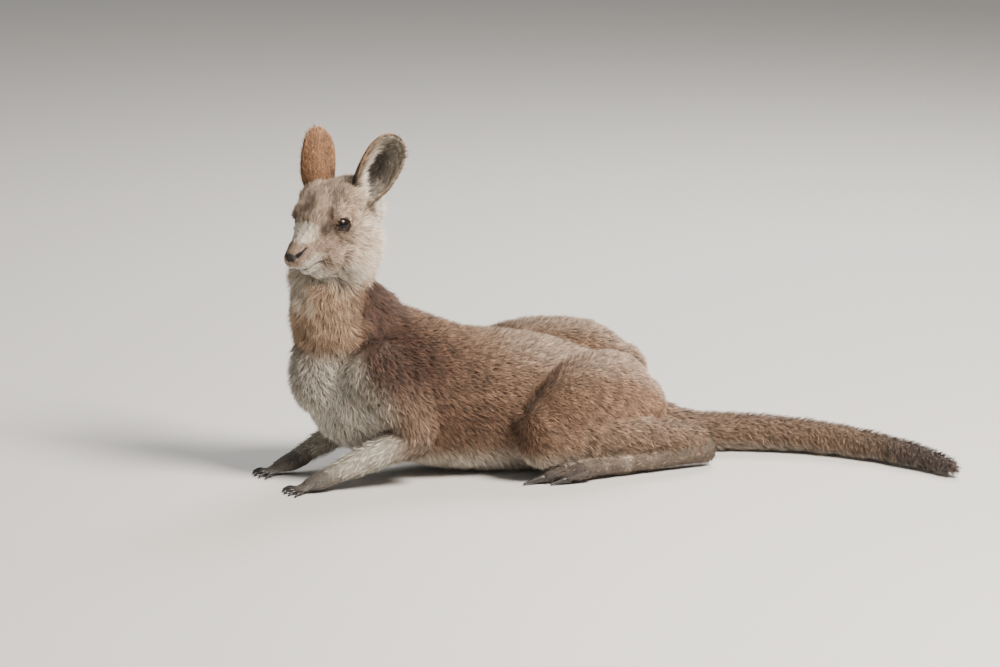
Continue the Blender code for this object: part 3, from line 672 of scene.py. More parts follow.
def face_masks(places):
    """How much each place on the head belongs to the nostrils, the mouth line, the pad of the nose, its bare
    tip and the bare lids."""
    nostril, lid = np.zeros((2, len(places)))
    mouth = np.exp(-(off_mouth(places) / MOUTH_WIDE) ** 2) * smooth_step(places[:, 0], 2.7, 3.5)
    for side in (1.0, -1.0):
        d, share = along_line(places, on_side(NOSTRIL, side))
        wide = NOSTRIL_WIDE[0] + (NOSTRIL_WIDE[1] - NOSTRIL_WIDE[0]) * share
        nostril = np.maximum(nostril, np.exp(-(d / wide) ** 2))
        away, tilt, turn = eye_polar(places, side)
        edge = lid_reach(turn)
        lid = np.maximum(lid, fading(tilt, edge + 5.0, edge + 11.0) * (away < 1.6))
    pad = smooth_step(bump(places, NOSE_PAD, (0.85, 1.15, 0.7)), 0.25, 0.7)
    tip = smooth_step(bump(places, NOSE_TIP, (0.62, 0.95, 0.52)), 0.3, 0.6)
    return nostril, mouth, pad, tip, lid


def faced(points, normals):
    """The skin of the head with its features: a muzzle nearly free of depth of coat, nostrils sunk 4.2 mm
    inside swollen rims, the mouth line sunk 2.8 mm, a groove down the nose, fuller lips, and eye sockets."""
    places = to_head(points)
    near = np.linalg.norm(places, axis=1) < HEAD_REACH
    here, up = places[near], normals[near] @ HEAD.T
    f, l, u = here.T
    nostril, mouth, pad, _, _ = face_masks(here)
    features = {
        "muzzle": smooth_step(f, 3.4, 6.0),
        "rim": sided(here, np.array(NOSTRIL[1]) + (0.1, 0.1, 0.1), (0.8, 0.4, 0.5)),
        "lip": sided(here, (5.5, 0.95, -1.1), (0.9, 0.7, 0.5)),
        "pad": pad,
        "brow": sided(here, (0.3, 2.75, 1.4), (1.0, 0.5, 0.3)),
        "nostril": nostril,
        "mouth": mouth,
        "cleft": np.exp(-(l / 0.1) ** 2) * smooth_step(f, 6.0, 6.3) * fading(u, -0.3, 0.0),
    }
    raised = sum(RELIEF[name] * share for name, share in features.items())
    here = opened_eyes(here + up * raised[:, None])
    points = points.copy()
    points[near] = from_head(here)
    return points


# ---------------------------------------------------------------- colours of skin and coat
COLOURS = {
    "head": (0.47, 0.34, 0.25), "neck": (0.35, 0.228, 0.143), "trunk": (0.25, 0.15, 0.093),
    "thigh": (0.24, 0.138, 0.083), "shank": (0.25, 0.16, 0.105), "foot": (0.17, 0.125, 0.09),
    "arm": (0.25, 0.155, 0.1), "forearm": (0.22, 0.155, 0.11), "hand": (0.065, 0.05, 0.042),
    "tail": (0.25, 0.16, 0.105), "ear": (0.33, 0.165, 0.08),
}
CREAM = np.array((0.95, 0.78, 0.6))
WHITISH = np.array((0.66, 0.59, 0.49))
CHEEK = np.array((0.73, 0.56, 0.415))
# pale hair tips together with painted light, laid on the rump where it faces up and back
FROSTED_AND_LIT = np.array((0.54, 0.42, 0.325))
CHESTNUT = np.array((0.062, 0.024, 0.012))
UMBER = np.array((0.12, 0.08, 0.058))
SOOT = np.array((0.045, 0.035, 0.032))
BARE = np.array((0.025, 0.02, 0.02))
PINK = np.array((0.32, 0.2, 0.165))
EAR_GREY = (0.5, 0.43, 0.34)
EAR_DEEP = (0.035, 0.026, 0.02)
EAR_RIM = (0.42, 0.33, 0.24)
IRIS = (0.02, 0.009, 0.005)
AMBER = (0.16, 0.066, 0.023)
PUPIL_BLACK = (0.006, 0.005, 0.005)
LID_BLACK = (0.012, 0.009, 0.008)
# Rounded marks on the sides of the head, in the order they are laid on: colour, strength, centre and radii
# (forward, outward, up), and the nearness at which the mark begins and is full, or None for a soft one.
DARK_MARKS = (
    (UMBER * 2.0, 0.75, (1.9, 2.2, -1.0), (2.1, 1.1, 1.1), None),
    (UMBER * 2.0, 0.5, (4.0, 1.8, -0.5), (1.2, 0.8, 0.8), None),
)
EAR_ROOT_MARKS = (
    (np.array(COLOURS["ear"]), 0.5, (-0.9, 3.0, 1.2), (0.9, 0.8, 0.6), None),
    (SOOT, 0.95, (-5.2, 2.0, 2.4), (0.6, 1.2, 1.0), (0.25, 0.5)),
)


def mixed(colours, other, share):
    """colours (1 - share) + other share."""
    return colours + (np.asarray(other) - colours) * np.clip(share, 0.0, 1.0)[:, None]


def spotted(colours, places, on, marks):
    """Rounded marks laid on both sides of the head, as far as each place is on the part they belong to."""
    for colour, strength, centre, radii, edge in marks:
        near = sided(places, centre, radii)
        near = smooth_step(near, *edge) if edge else near
        colours = mixed(colours, colour, strength * on * near)
    return colours


def body_marks(points, normals, region, colours):
    """Beige neck over a whitish chest, a chestnut cape over nape and shoulders, pale belly, dark toes and
    tail end;
    painted light pales the cape where the back faces up, painted shade darkens the flanks where they face
    sideways or down, and the rump is paled where it faces up and back, partly pale hair tips and partly
    painted light."""
    x, y, z = (points / CM).T
    back, above = normals[:, 1], normals[:, 2]
    share = {name: region[REGIONS.index(name)] for name in REGIONS}
    trunk = share["trunk"] + share["thigh"]
    body = 1.0 - share["head"] - share["ear"]
    chest = fading(z, 13.0, 16.5) * fading(y + 0.25 * z, -13.5, -10.0)
    colours = mixed(colours, WHITISH, 0.95 * body * chest)
    cape = smooth_step(y + 0.1 * np.abs(x), -17.0, -14.8) * fading(y, -11.0, 3.0)
    cape *= smooth_step(z, 8.0, 13.0)
    # painted light: the chestnut cape is paled where the back faces up toward the light
    cape *= 1.0 - 0.6 * smooth_step(above, 0.55, 0.95) * smooth_step(y, -13.0, -8.0)
    colours = mixed(colours, CHESTNUT, 0.95 * body * cape)
    # painted shade: the flank is darkened toward chestnut where it faces sideways or down, away from the
    # light
    flank = smooth_step(0.6 - above, 0.0, 0.8) * smooth_step(z, 3.0, 7.0) * (1.0 - chest)
    colours = mixed(colours, CHESTNUT * 1.25, 0.6 * trunk * flank * fading(y, 4.0, 14.0))
    # partly pale hair tips, partly painted light: rump and thigh tops are paled where they face up and back
    # toward the light
    rump_tips_and_light = trunk * smooth_step(above + 0.5 * back, 0.45, 1.0) * smooth_step(y, -4.0, 6.0)
    colours = mixed(colours, FROSTED_AND_LIT, 0.55 * rump_tips_and_light)
    colours = mixed(colours, WHITISH, 0.8 * trunk * fading(z, 1.5, 4.5))
    end = np.hypot(x - TAIL[-1][0], y - TAIL[-1][1])
    colours = mixed(colours, SOOT * 1.6, 0.85 * share["tail"] * fading(end, 4.0, 15.0))
    colours = mixed(colours, WHITISH * 0.85, 0.5 * share["tail"] * smooth_step(-above, 0.1, 0.8))
    toes = (share["foot"] + share["hand"]) * fading(y, 5.0, 13.0)
    return mixed(colours, SOOT * 1.4, 0.8 * toes)


def head_marks(points, region, colours):
    """Pale cheeks that run down onto the neck, a cream bridge to the nose, whitish lips and chin, dark before
    and under the eye, at the roots of the ears and round the nostrils, white behind the ears, and painted
    shade round the right eye, on the side of the face turned from the light."""
    head, neck = (region[REGIONS.index(name)] for name in ("head", "neck"))
    both = head + neck
    places = to_head(points)
    f, l, u = places[:, 0], np.abs(places[:, 1]), places[:, 2]

    ruff = neck * smooth_step(u + 0.2 * f, -7.2, -5.6)
    ruff = ruff * smooth_step(l, 0.6, 1.8) * smooth_step(f, -5.6, -4.2)
    cheek = head * smooth_step(l - 0.3 * f - 0.45 * u, 2.5, 3.9) * (1.0 - 0.6 * smooth_step(u, -1.0, 0.6))
    colours = mixed(colours, CHEEK, 0.95 * np.maximum(ruff, cheek))
    bridge = smooth_step(bump(places, (3.45, 0.0, 0.9), (1.4, 2.05, 0.95)), 0.25, 0.55)
    colours = mixed(colours, CREAM, 0.95 * head * bridge)
    lips = smooth_step(f, 2.8, 4.4) * fading(u + 0.15 * np.abs(f - 5.0), -1.2, -0.6)
    colours = mixed(colours, WHITISH * 1.2, 0.9 * head * lips)
    throat = head * fading(u, -4.2, -3.0) * smooth_step(f, 0.0, 2.5)
    colours = mixed(colours, WHITISH, 0.8 * throat)
    behind_ear = smooth_step(sided(places, (-4.6, 3.6, -0.6), (1.3, 1.6, 2.4)), 0.25, 0.6)
    behind_ear *= smooth_step(l, 2.3, 3.4) * smooth_step(f, -6.2, -4.8)
    colours = mixed(colours, WHITISH * 1.25, 0.95 * both * behind_ear)

    under_ear = (UMBER, 0.9, (-3.2, 3.5, -0.3), (0.6, 1.0, 1.1), (0.15, 0.5))
    colours = spotted(colours, places, both, (under_ear,))
    before_eye = (UMBER * 0.7, 0.95, (2.05, 1.95, 0.5), (1.0, 0.75, 0.62), (0.1, 0.8))
    colours = spotted(colours, places, head, (before_eye,))
    # painted shade: soot round the right eye only, the far side of the face, which is turned from the light
    far_eye_shade = smooth_step(bump(places, (1.2, -2.8, 0.6), (1.8, 0.7, 1.1)), 0.15, 0.7)
    colours = mixed(colours, SOOT, 0.9 * head * far_eye_shade)
    colours = spotted(colours, places, head, DARK_MARKS)
    streak = np.exp(-((l - 1.1 - 0.1 * f) / 0.3) ** 2)
    streak *= smooth_step(-f, -1.0, 0.5) * fading(-f, 3.0, 4.5)
    colours = mixed(colours, UMBER * 2.0, 0.1 * head * streak * smooth_step(u, 1.2, 2.2))
    colours = spotted(colours, places, head, EAR_ROOT_MARKS)

    nostril, mouth, pad, tip, lid = face_masks(places)
    colours = mixed(colours, UMBER * 2.4, 0.45 * head * pad)
    rim = sided(places, np.array(NOSTRIL[1]) + (0.15, 0.0, -0.32), (0.6, 0.35, 0.2))
    colours = mixed(colours, PINK, 0.7 * head * smooth_step(rim, 0.4, 0.8))
    colours = mixed(colours, BARE, 0.95 * head * tip)
    line = np.maximum(smooth_step(nostril, 0.3, 0.65), 0.95 * smooth_step(mouth, 0.3, 0.65))
    colours = mixed(colours, BARE * 0.4, head * line)
    return mixed(colours, SOOT * 0.7, 0.95 * head * lid)


def markings(points, normals, region):
    """The coat's colour at each point: each region's own, blended and mottled, then the marks of body and
    head."""
    own = np.array([COLOURS[name] for name in REGIONS])
    colours = (region[:, :, None] * own[:, None]).sum(0)
    neck = region[REGIONS.index("neck")]
    mottle = 0.04 * ripple(points, 0.035, 3) + 0.07 * ripple(points, 0.012, 4)
    mottle = mottle + 0.3 * neck * ripple(points, 0.008, 9)
    colours = colours * np.exp(mottle)[:, None]
    return head_marks(points, region, body_marks(points, normals, region, colours))


def sided(places, centre, radii):
    """A bump on both sides of the head."""
    return bump(places * (1, -1, 1), centre, radii) + bump(places, centre, radii)


def ear_markings(ear):
    """Tan fur on the back, sooty low on its front edge; inside, dark in the cup with grey hair and a cream
    inner edge."""
    share, column, front = ear["share"], ear["column"], ear["front"]
    tan, grey = (np.tile(colour, (len(share), 1)) for colour in (COLOURS["ear"], EAR_GREY))
    low = fading(share, 0.1, 0.36) * smooth_step(front, -0.2, 0.5)
    back = mixed(tan, SOOT * 1.3, 0.9 * low)
    back = mixed(back, SOOT, 0.9 * fading(share, 0.02, 0.12))
    deep = np.exp(-((share - 0.3) / 0.34) ** 2 - ((front - 0.02) / 0.66) ** 2)
    cup = mixed(grey, EAR_DEEP, 1.3 * deep)
    pale = smooth_step(front - 0.35 * share, 0.12, 0.42) * fading(share, 0.4, 0.62)
    cup = mixed(cup, CREAM * 1.05, pale)
    cup = mixed(cup, EAR_RIM, smooth_step(np.abs(column), 0.88, 0.98))
    return mixed(back, cup, ear["inside"])


# ---------------------------------------------------------------- tufts
def scattered(points, faces, weight, count, rng):
    """count roots over the triangles, in proportion to area times weight: the running total of that is
    stepped through evenly, and a root falls anywhere in its triangle. Returns corners and their shares."""
    span = np.linalg.norm(face_normals(points, faces), axis=1)
    total = np.cumsum(span * weight[faces].mean(1))
    pick = np.searchsorted(total, (np.arange(count) + rng.random(count)) / count * total[-1])
    r1, r2 = np.sqrt(rng.random(count)), rng.random(count)
    return faces[np.minimum(pick, len(faces) - 1)], np.stack([1 - r1, r1 * (1 - r2), r1 * r2], 1)


def at(values, corners, shares):
    """A point quantity read at roots inside triangles."""
    values = np.asarray(values)
    if values.ndim == 1:
        return (values[corners] * shares).sum(1)
    return (values[corners] * shares[:, :, None]).sum(1)


def paired(left, right, tip):
    """The left and right points of every hair in turn, and its tip last."""
    count, hairs = left.shape[:2]
    return np.concatenate([np.stack([left, right], 3).reshape(count, hairs, -1, 3), tip], 2)


def tuft_points(roots, hairs, rng):
    """Hair j of a tuft starts at root + spread (a_j T + b_j B) and runs on with direction cos(q) T +
    sin(q) N, where q falls from rise to lie along it; its offset from the tuft's middle shrinks to 0.6 at
    the tip, so that the tuft narrows. It is a strip across, cut to nothing at the tip. Returns points and
    normals, each tufts x hairs x (2 bends + 3) x 3, and the share of the length at each point."""
    normal, flow, length = roots["normal"], roots["flow"], roots["length"]
    count = len(normal)
    tangent = unit(flow - normal * (flow * normal).sum(1, keepdims=True))
    tangent = rotated(tangent, normal, rng.normal(0.0, TUFT_TURN, (count, 1)))
    t, n, b = (v[:, None, None] for v in (tangent, normal, np.cross(normal, tangent)))
    turn = rng.random((count, hairs)) * TAU
    far = np.sqrt(rng.random((count, hairs)))
    aside = np.cos(turn)[..., None, None] * t + np.sin(turn)[..., None, None] * b
    offset = (roots["spread"][:, None] * far)[..., None, None] * aside

    steps = BENDS + 1
    share = np.linspace(0.0, 1.0, steps + 1)
    varied = np.clip(1.0 + rng.normal(0.0, LENGTH_VARIES, (count, hairs)), 0.5, 1.45)
    start = np.radians(roots["rise"])[:, None] + rng.normal(0.0, RISE_VARIES, (count, hairs))
    end = np.radians(roots["lie"])[:, None] + rng.normal(0.0, LIE_VARIES, (count, hairs))
    middle = start[..., None] + (end - start)[..., None] * (share[:-1] + 0.5 / steps)
    step = (length[:, None] * varied / steps)[..., None]
    nothing = np.zeros((count, hairs, 1))
    ahead = np.concatenate([nothing, np.cumsum(np.cos(middle) * step, 2)], 2)
    above = np.concatenate([nothing, np.cumsum(np.sin(middle) * step, 2)], 2)
    sway = (rng.normal(0.0, SWAY_VARIES, (count, 1)) * length[:, None])[..., None] * share**2
    path = (roots["at"][:, None, None] + offset * (1.0 - 0.4 * share)[:, None] + ahead[..., None] * t
            + (above - ROOT_DEPTH)[..., None] * n + sway[..., None] * b)

    roll = rng.uniform(-HAIR_ROLL, HAIR_ROLL, (count, hairs, 1, 1))
    lean = start[..., None] + (end - start)[..., None] * share
    facing = np.cos(lean)[..., None] * n - np.sin(lean)[..., None] * t
    across = (np.cos(roll) * b + np.sin(roll) * facing)[:, :, :-1]
    taper = (1.0 - share[:-1] ** 2.2)[:, None] * roots["width"][:, None, None, None] / 2
    rest, tip = path[:, :, :-1], path[:, :, -1:]
    points = paired(rest - across * taper, rest + across * taper, tip)
    body = facing + 0.25 * n
    rest, tip = body[:, :, :-1], body[:, :, -1:]
    normals = paired(rest - 0.45 * across, rest + 0.45 * across, tip)
    return points, unit(normals), np.concatenate([np.repeat(share[:-1], 2), [1.0]])


def strip_faces(strips):
    """Triangles of hairs, each a strip of pairs of points and a tip."""
    a, last = 2 * np.arange(BENDS), 2 * BENDS
    one = [np.stack([a, a + 3, a + 1], 1), np.stack([a, a + 2, a + 3], 1), [(last, last + 2, last + 1)]]
    return (np.arange(strips)[:, None, None] * (last + 3) + np.vstack(one)).reshape(-1, 3)


def coat(name, roots, hairs, place, rng):
    """A coat piece: tufts at the roots, painted from dark at the skin to pale at the tips, each hair and
    tuft a little lighter or darker, with every tuft a patch of its own at its place on the unwrap."""
    points, normals, share = tuft_points(roots, hairs, rng)
    count, _, per = points.shape[:3]
    points[..., 2] = np.maximum(points[..., 2], LOWEST_HAIR)
    tone = rng.normal(0.0, TUFT_TONE, (count, 1, 1, 1))
    tone = np.exp(tone + rng.normal(0.0, HAIR_TONE, (count, hairs, 1, 1)))
    tone *= np.exp(CLUMP_TONE * ripple(roots["at"], CLUMP_WAVE, 12, 9))[:, None, None, None]
    dark = np.where(rng.random((count, hairs, 1, 1)) < DARK_HAIRS, 0.5, 1.0)
    depth = np.interp(share, *DEPTH_TONE)[:, None]
    colours = roots["colour"][:, None, None] * tone * dark * depth
    colours = np.clip(colours + 0.05 * (share**2)[:, None] * dark, 0.0, 0.95).reshape(-1, 3)
    faces = strip_faces(count * hairs)
    obj = new_mesh(name, points.reshape(-1, 3), faces)
    paint(obj, colours)
    obj.data.normals_split_custom_set_from_vertices(normals.reshape(-1, 3).astype(np.float32))

    corner = np.stack([np.where(np.arange(per) % 2 == 0, -0.5, 0.5), share - 0.5], 1)
    corner[-1, 0] = 0.0
    spots = np.broadcast_to(place[:, None, None] + PATCH * corner, (count, hairs, per, 2))
    layer = obj.data.uv_layers.new(name="OFBake")
    layer.data.foreach_set("uv", spots.reshape(-1, 2)[faces.ravel()].astype(np.float32).ravel())
    return obj


def unwrapped(points, nearest, masses):
    """Each mass unrolled on a band of its own: across is the turn round it, up is the place along it. A band
    is as tall as its share of the roots, and none is under a fortieth."""
    place = np.zeros((len(points), 2))
    used, many = np.unique(nearest, return_counts=True)
    tall = np.maximum(many / many.sum(), 0.025)
    tall = 0.98 * tall / tall.sum()
    low = 0.01
    for m, height in zip(used, tall):
        here = nearest == m
        made = masses[m][2]
        best, _ = nearest_station(points[here], made)
        rel = points[here] / CM - made["centre"][best]
        ahead, aside, above = ((rel * made[key][best]).sum(1) for key in ("along", "side", "top"))
        spacing = np.linalg.norm(np.diff(made["centre"], axis=0), axis=1).mean()
        onward = best + ahead / spacing
        share = (onward - onward.min()) / max(float(np.ptp(onward)), 1e-9)
        across = 0.02 + 0.96 * (np.arctan2(above, aside) / TAU + 0.5)
        place[here] = np.stack([across, low + height * (0.05 + 0.9 * share)], 1)
        low += height
    return place


def ear_places(corners, shares, ears):
    """The four ear sheets side by side: across is the column, up is the share of the ear's length."""
    share, column = (np.concatenate([ear[key] for ear in ears]) for key in ("share", "column"))
    sheet = np.concatenate([ear["inside"] + 2 * j for j, ear in enumerate(ears)])[corners[:, 0]]
    across = 0.01 + (sheet + 0.06 + 0.44 * (at(column, corners, shares) + 1.0)) * 0.245
    return np.stack([across, 0.02 + 0.96 * at(share, corners, shares)], 1)


# ---------------------------------------------------------------- materials
def look(name, roughness, bump_scale=0.0, bump_depth=0.0, colour=None, speck=0.0, **sockets):
    """A Principled finish: its colour from the piece's own attribute or one colour, broken by fine noise,
    over noise bump at bump_scale per metre. Further sockets are set as given."""
    made = bpy.data.materials.new(name)
    made.use_nodes = True
    nodes, links = made.node_tree.nodes, made.node_tree.links
    shader = nodes["Principled BSDF"]
    where = nodes.new("ShaderNodeTexCoord")

    def noise(scale, detail):
        """Fine noise in the body's own space."""
        grain = nodes.new("ShaderNodeTexNoise")
        filled(grain, Scale=scale, Detail=detail)
        links.new(where.outputs["Object"], grain.inputs["Vector"])
        return grain.outputs["Fac"]

    filled(shader, Roughness=roughness, **sockets)
    if colour is None:
        source = nodes.new("ShaderNodeAttribute")
        source.attribute_name = COLOUR_LAYER
    else:
        source = nodes.new("ShaderNodeRGB")
        source.outputs["Color"].default_value = (*colour, 1.0)
    output = source.outputs["Color"]
    if speck:
        shade = nodes.new("ShaderNodeMapRange")
        filled(shade, From_Min=0.3, From_Max=0.7, To_Min=1.0 - speck, To_Max=1.0 + speck)
        links.new(noise(bump_scale * 0.6, 4.0), shade.inputs["Value"])
        times = nodes.new("ShaderNodeVectorMath")
        times.operation = "SCALE"
        links.new(output, times.inputs[0])
        links.new(shade.outputs["Result"], times.inputs["Scale"])
        output = times.outputs["Vector"]
    links.new(output, shader.inputs["Base Color"])
    if bump_depth:
        relief = nodes.new("ShaderNodeBump")
        filled(relief, Strength=0.6, Distance=bump_depth)
        links.new(noise(bump_scale, 5.0), relief.inputs["Height"])
        links.new(relief.outputs["Normal"], shader.inputs["Normal"])
    return made


def filled(node, **sockets):
    """A node's inputs set by name, with a low line for each space."""
    for socket, value in sockets.items():
        node.inputs[socket.replace("_", " ")].default_value = value


def finish_piece(obj, material, replaces=()):
    """A piece with its material and slot, carried by the body's root, in place of the nodes it replaces."""
    obj.data.materials.append(material)
    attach(obj, "root")
    if replaces:
        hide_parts(*replaces)


# ---------------------------------------------------------------- eyes, lids, whiskers, claws
def eye_piece(side):
    """A ball of radius 10 mm, coloured by degrees from its axis: a wide dark pupil, a brown iris, a dark
    rim."""
    centre = from_head(on_side(EYE_AT, side))
    axes = eye_axes(side) @ HEAD
    points, faces, local = ball_mesh(centre, (EYE_RADIUS,) * 3, axes, rings=96, sides=96)
    out, front, up = local.T
    tilt = np.degrees(np.arccos(np.clip(out, -1, 1)))
    turn = np.arctan2(up, front)
    pupil = 1.0 / np.hypot(np.cos(turn) / PUPIL[0], np.sin(turn) / PUPIL[1])
    rays = 0.5 + 0.5 * np.sin(turn * 46.0) * np.sin(turn * 17.0 + 1.0)
    amber = smooth_step(up, -0.05, 0.3) * fading(np.abs(front), 0.35, 0.7)
    colours = np.tile(IRIS, (len(points), 1))
    colours = mixed(colours, AMBER, 0.85 * amber * (0.6 + 0.4 * rays))
    colours = mixed(colours, PUPIL_BLACK, 1.0 - smooth_step(tilt, pupil - 2.0, pupil + 2.0))
    colours = mixed(colours, LID_BLACK, smooth_step(tilt, 46.0, 56.0))
    if side < 0:
        faces = faces[:, ::-1]
    obj = new_mesh("eye_left_ball" if side > 0 else "eye_right_ball", points, faces)
    paint(obj, colours)
    return obj


def lid_edge(turn, side, above):
    """Places on the lids' edge at turns about the eye, a little above the ball, and the way out from it."""
    axes = eye_axes(side)
    reach = np.radians(lid_reach(turn) + 1.0)
    around = np.cos(turn)[:, None] * axes[1] + np.sin(turn)[:, None] * axes[2]
    out = np.cos(reach)[:, None] * axes[0] + np.sin(reach)[:, None] * around
    return on_side(EYE_AT, side) + out * (EYE_RADIUS + above), out, around


def lid_piece(side, steps=120, sides=14):
    """A round rim along the lids' edge: a tube about a closed curve on the eyeball, of 0.6 mm radius below
    and up to 1.1 mm above."""
    turn = TAU * np.arange(steps) / steps
    middle, out, _ = lid_edge(turn, side, 0.035)
    along = unit(np.roll(middle, -1, 0) - np.roll(middle, 1, 0))
    across = np.cross(along, out)[:, None]
    thick = 0.06 + 0.05 * np.maximum(np.sin(turn), 0.0)
    k = (TAU * np.arange(sides) / sides)[:, None]
    grid = middle[:, None] + thick[:, None, None] * (np.cos(k) * out[:, None] + 1.2 * np.sin(k) * across)
    i, j = np.meshgrid(np.arange(steps), np.arange(sides), indexing="ij")
    faces = np.stack([((i + p) % steps * sides + (j + q) % sides).ravel()
                      for p, q in ((0, 0), (1, 0), (1, 1), (0, 1))], 1)
    if side < 0:
        faces = faces[:, ::-1]
    return new_mesh("lid_left" if side > 0 else "lid_right", from_head(grid.reshape(-1, 3)), faces)


def bristles(starts, aims, lengths, droop, radius=0.013, sides=5, steps=7):
    """Tapering round hairs: centre(s) = start + length (s aim + s^2 droop), radius (1 - 0.9 s)."""
    s = np.linspace(0.0, 1.0, steps)[:, None]
    path = starts[:, None] + lengths[:, None, None] * (s * aims[:, None] + s**2 * droop[:, None])
    along = unit(np.gradient(path, axis=1))
    side = unit(np.cross(along, (0.3, 0.2, 1.0)))
    top = np.cross(side, along)
    k = (TAU * np.arange(sides) / sides)[:, None]
    ring = np.cos(k) * side[:, :, None] + np.sin(k) * top[:, :, None]
    grid = path[:, :, None] + (radius * (1.0 - 0.9 * s))[..., None] * ring
    points = np.concatenate([grid.reshape(len(starts), -1, 3), path[:, :1], path[:, -1:]], 1)
    first = np.arange(len(starts))[:, None, None] * (steps * sides + 2)
    return points.reshape(-1, 3), (first + tube_faces(steps, sides)).reshape(-1, 3)


def whisker_piece(rng):
    """A few whiskers on each side of the upper lip, over the eye and on the cheek, and lashes along each
    upper lid."""
    spots = [(5.2 - 0.45 * j, 1.2 + 0.12 * j, -0.75 - 0.22 * (j % 3)) for j in range(7)]
    spots += [(0.8, 2.7, 1.6), (0.3, 2.9, 1.7), (-1.0, 3.0, -1.6)]
    lashes = np.radians(np.linspace(24.0, 156.0, 34))
    starts, aims, lengths, droops = [], [], [], []
    for side in (1.0, -1.0):
        for spot in spots:
            upward = 0.9 if spot[2] > 1 else 0.0
            starts.append(on_side(spot, side))
            aims.append((0.1 + rng.normal(0, 0.12), side, -0.25 + rng.normal(0, 0.15) + upward))
            lengths.append(rng.uniform(1.6, 2.8))
            droops.append((-0.35, 0.0, -0.15))
        out, _, up = eye_axes(side)
        edge, _, around = lid_edge(lashes, side, 0.1)
        for start, away in zip(edge, around):
            starts.append(start)
            aims.append(0.75 * out + 0.35 * away + 0.12 * rng.normal(0, 1, 3))
            lengths.append(rng.uniform(0.35, 0.6))
            droops.append(0.25 * up - 0.35 * out)
    points, faces = bristles(np.array(starts), unit(np.array(aims)), np.array(lengths), np.array(droops))
    return new_mesh("whiskers", from_head(points), faces)


def claw_pieces():
    """A tapering horn on each toe and finger, curved down to its tip, as (node, mass)."""
    made = []
    finger = ((-0.1, 0.38, 0.19), (0.35, 0.42, 0.18), (0.7, 0.33, 0.13), (1.0, 0.14, 0.05))
    for side, word in ((1.0, "left"), (-1.0, "right")):
        for toe, (offset, root, end, radius, length) in TOES.items():
            x = side * (FOOT[-1][0] + offset + (root - end) * TOE_SPLAY)
            base = 0.42 * radius + 0.05
            start, rise = end - 0.1, 0.62 * radius
            rows = (
                (x, start + 0.3, rise, 0.9 * base, 0.9 * base),
                (x, start - 0.25 * length, 1.04 * rise, 0.92 * base, 0.95 * base),
                (x + 0.02 * side, start - 0.6 * length, 0.86 * rise, 0.66 * base, 0.7 * base),
                (x + 0.04 * side, end - 0.8 * radius - length, 0.2, 0.09, 0.09),
            )
            made.append((f"claw_{toe}_toe_{word}", mass(rows, sides=16)))
        for name, spread in FINGERS.items():
            rows = finger_rows(side, spread, finger, FINGER_START + FINGER_LENGTH, FINGER_CLAW)
            made.append((f"claw_{name}_finger_{word}", mass(rows, sides=12, steps=5)))
    return made


# ---------------------------------------------------------------- how the coat grows
def with_head_balls(points, region):
    """The shares of the regions with all that lies on the head's rounded masses given to the head."""
    places = to_head(points)
    near = np.zeros(len(points))
    for f, l, u, *radii in HEAD_BALLS.values():
        for side in (1.0, -1.0):
            far = np.linalg.norm((places - (f, l * side, u)) / radii, axis=1)
            near = np.maximum(near, 1.0 - smooth_step(far, 1.05, 1.4))
    region = region * (1.0 - near)
    region[REGIONS.index("head")] += near
    return region


def combed(points, normals, region, flow):
    """The lie of the hair: along each mass, down the flanks and the front, back and down on the thighs, and
    on the head straight back, drooping over cheek and jaw; then turned a little by smooth noise, more so on
    the neck."""
    head, neck, thigh = (region[REGIONS.index(name)][:, None] for name in ("head", "neck", "thigh"))
    down = np.array((0.0, 0.0, -1.0))
    front = smooth_step(-normals[:, 1:2], 0.3, 0.9)
    flow = unit(flow) + down * (0.35 + 0.9 * front)
    flow = flow + (np.array((0.0, 0.75, -0.65)) - flow) * thigh
    places = to_head(points)
    l, u = np.abs(places[:, 1:2]), places[:, 2:3]
    droop = smooth_step(l, 1.2, 3.0) * smooth_step(-u, -0.4, 2.5)
    flow = flow + (-HEAD[0] + 0.9 * droop * down - flow) * head
    turn = (0.1 + 0.2 * neck[:, 0] + 0.08 * head[:, 0]) * ripple(points, 0.03, 5)
    turn += (0.12 + 0.15 * neck[:, 0]) * ripple(points, 0.01, 6)
    return rotated(unit(flow), normals, turn[:, None])


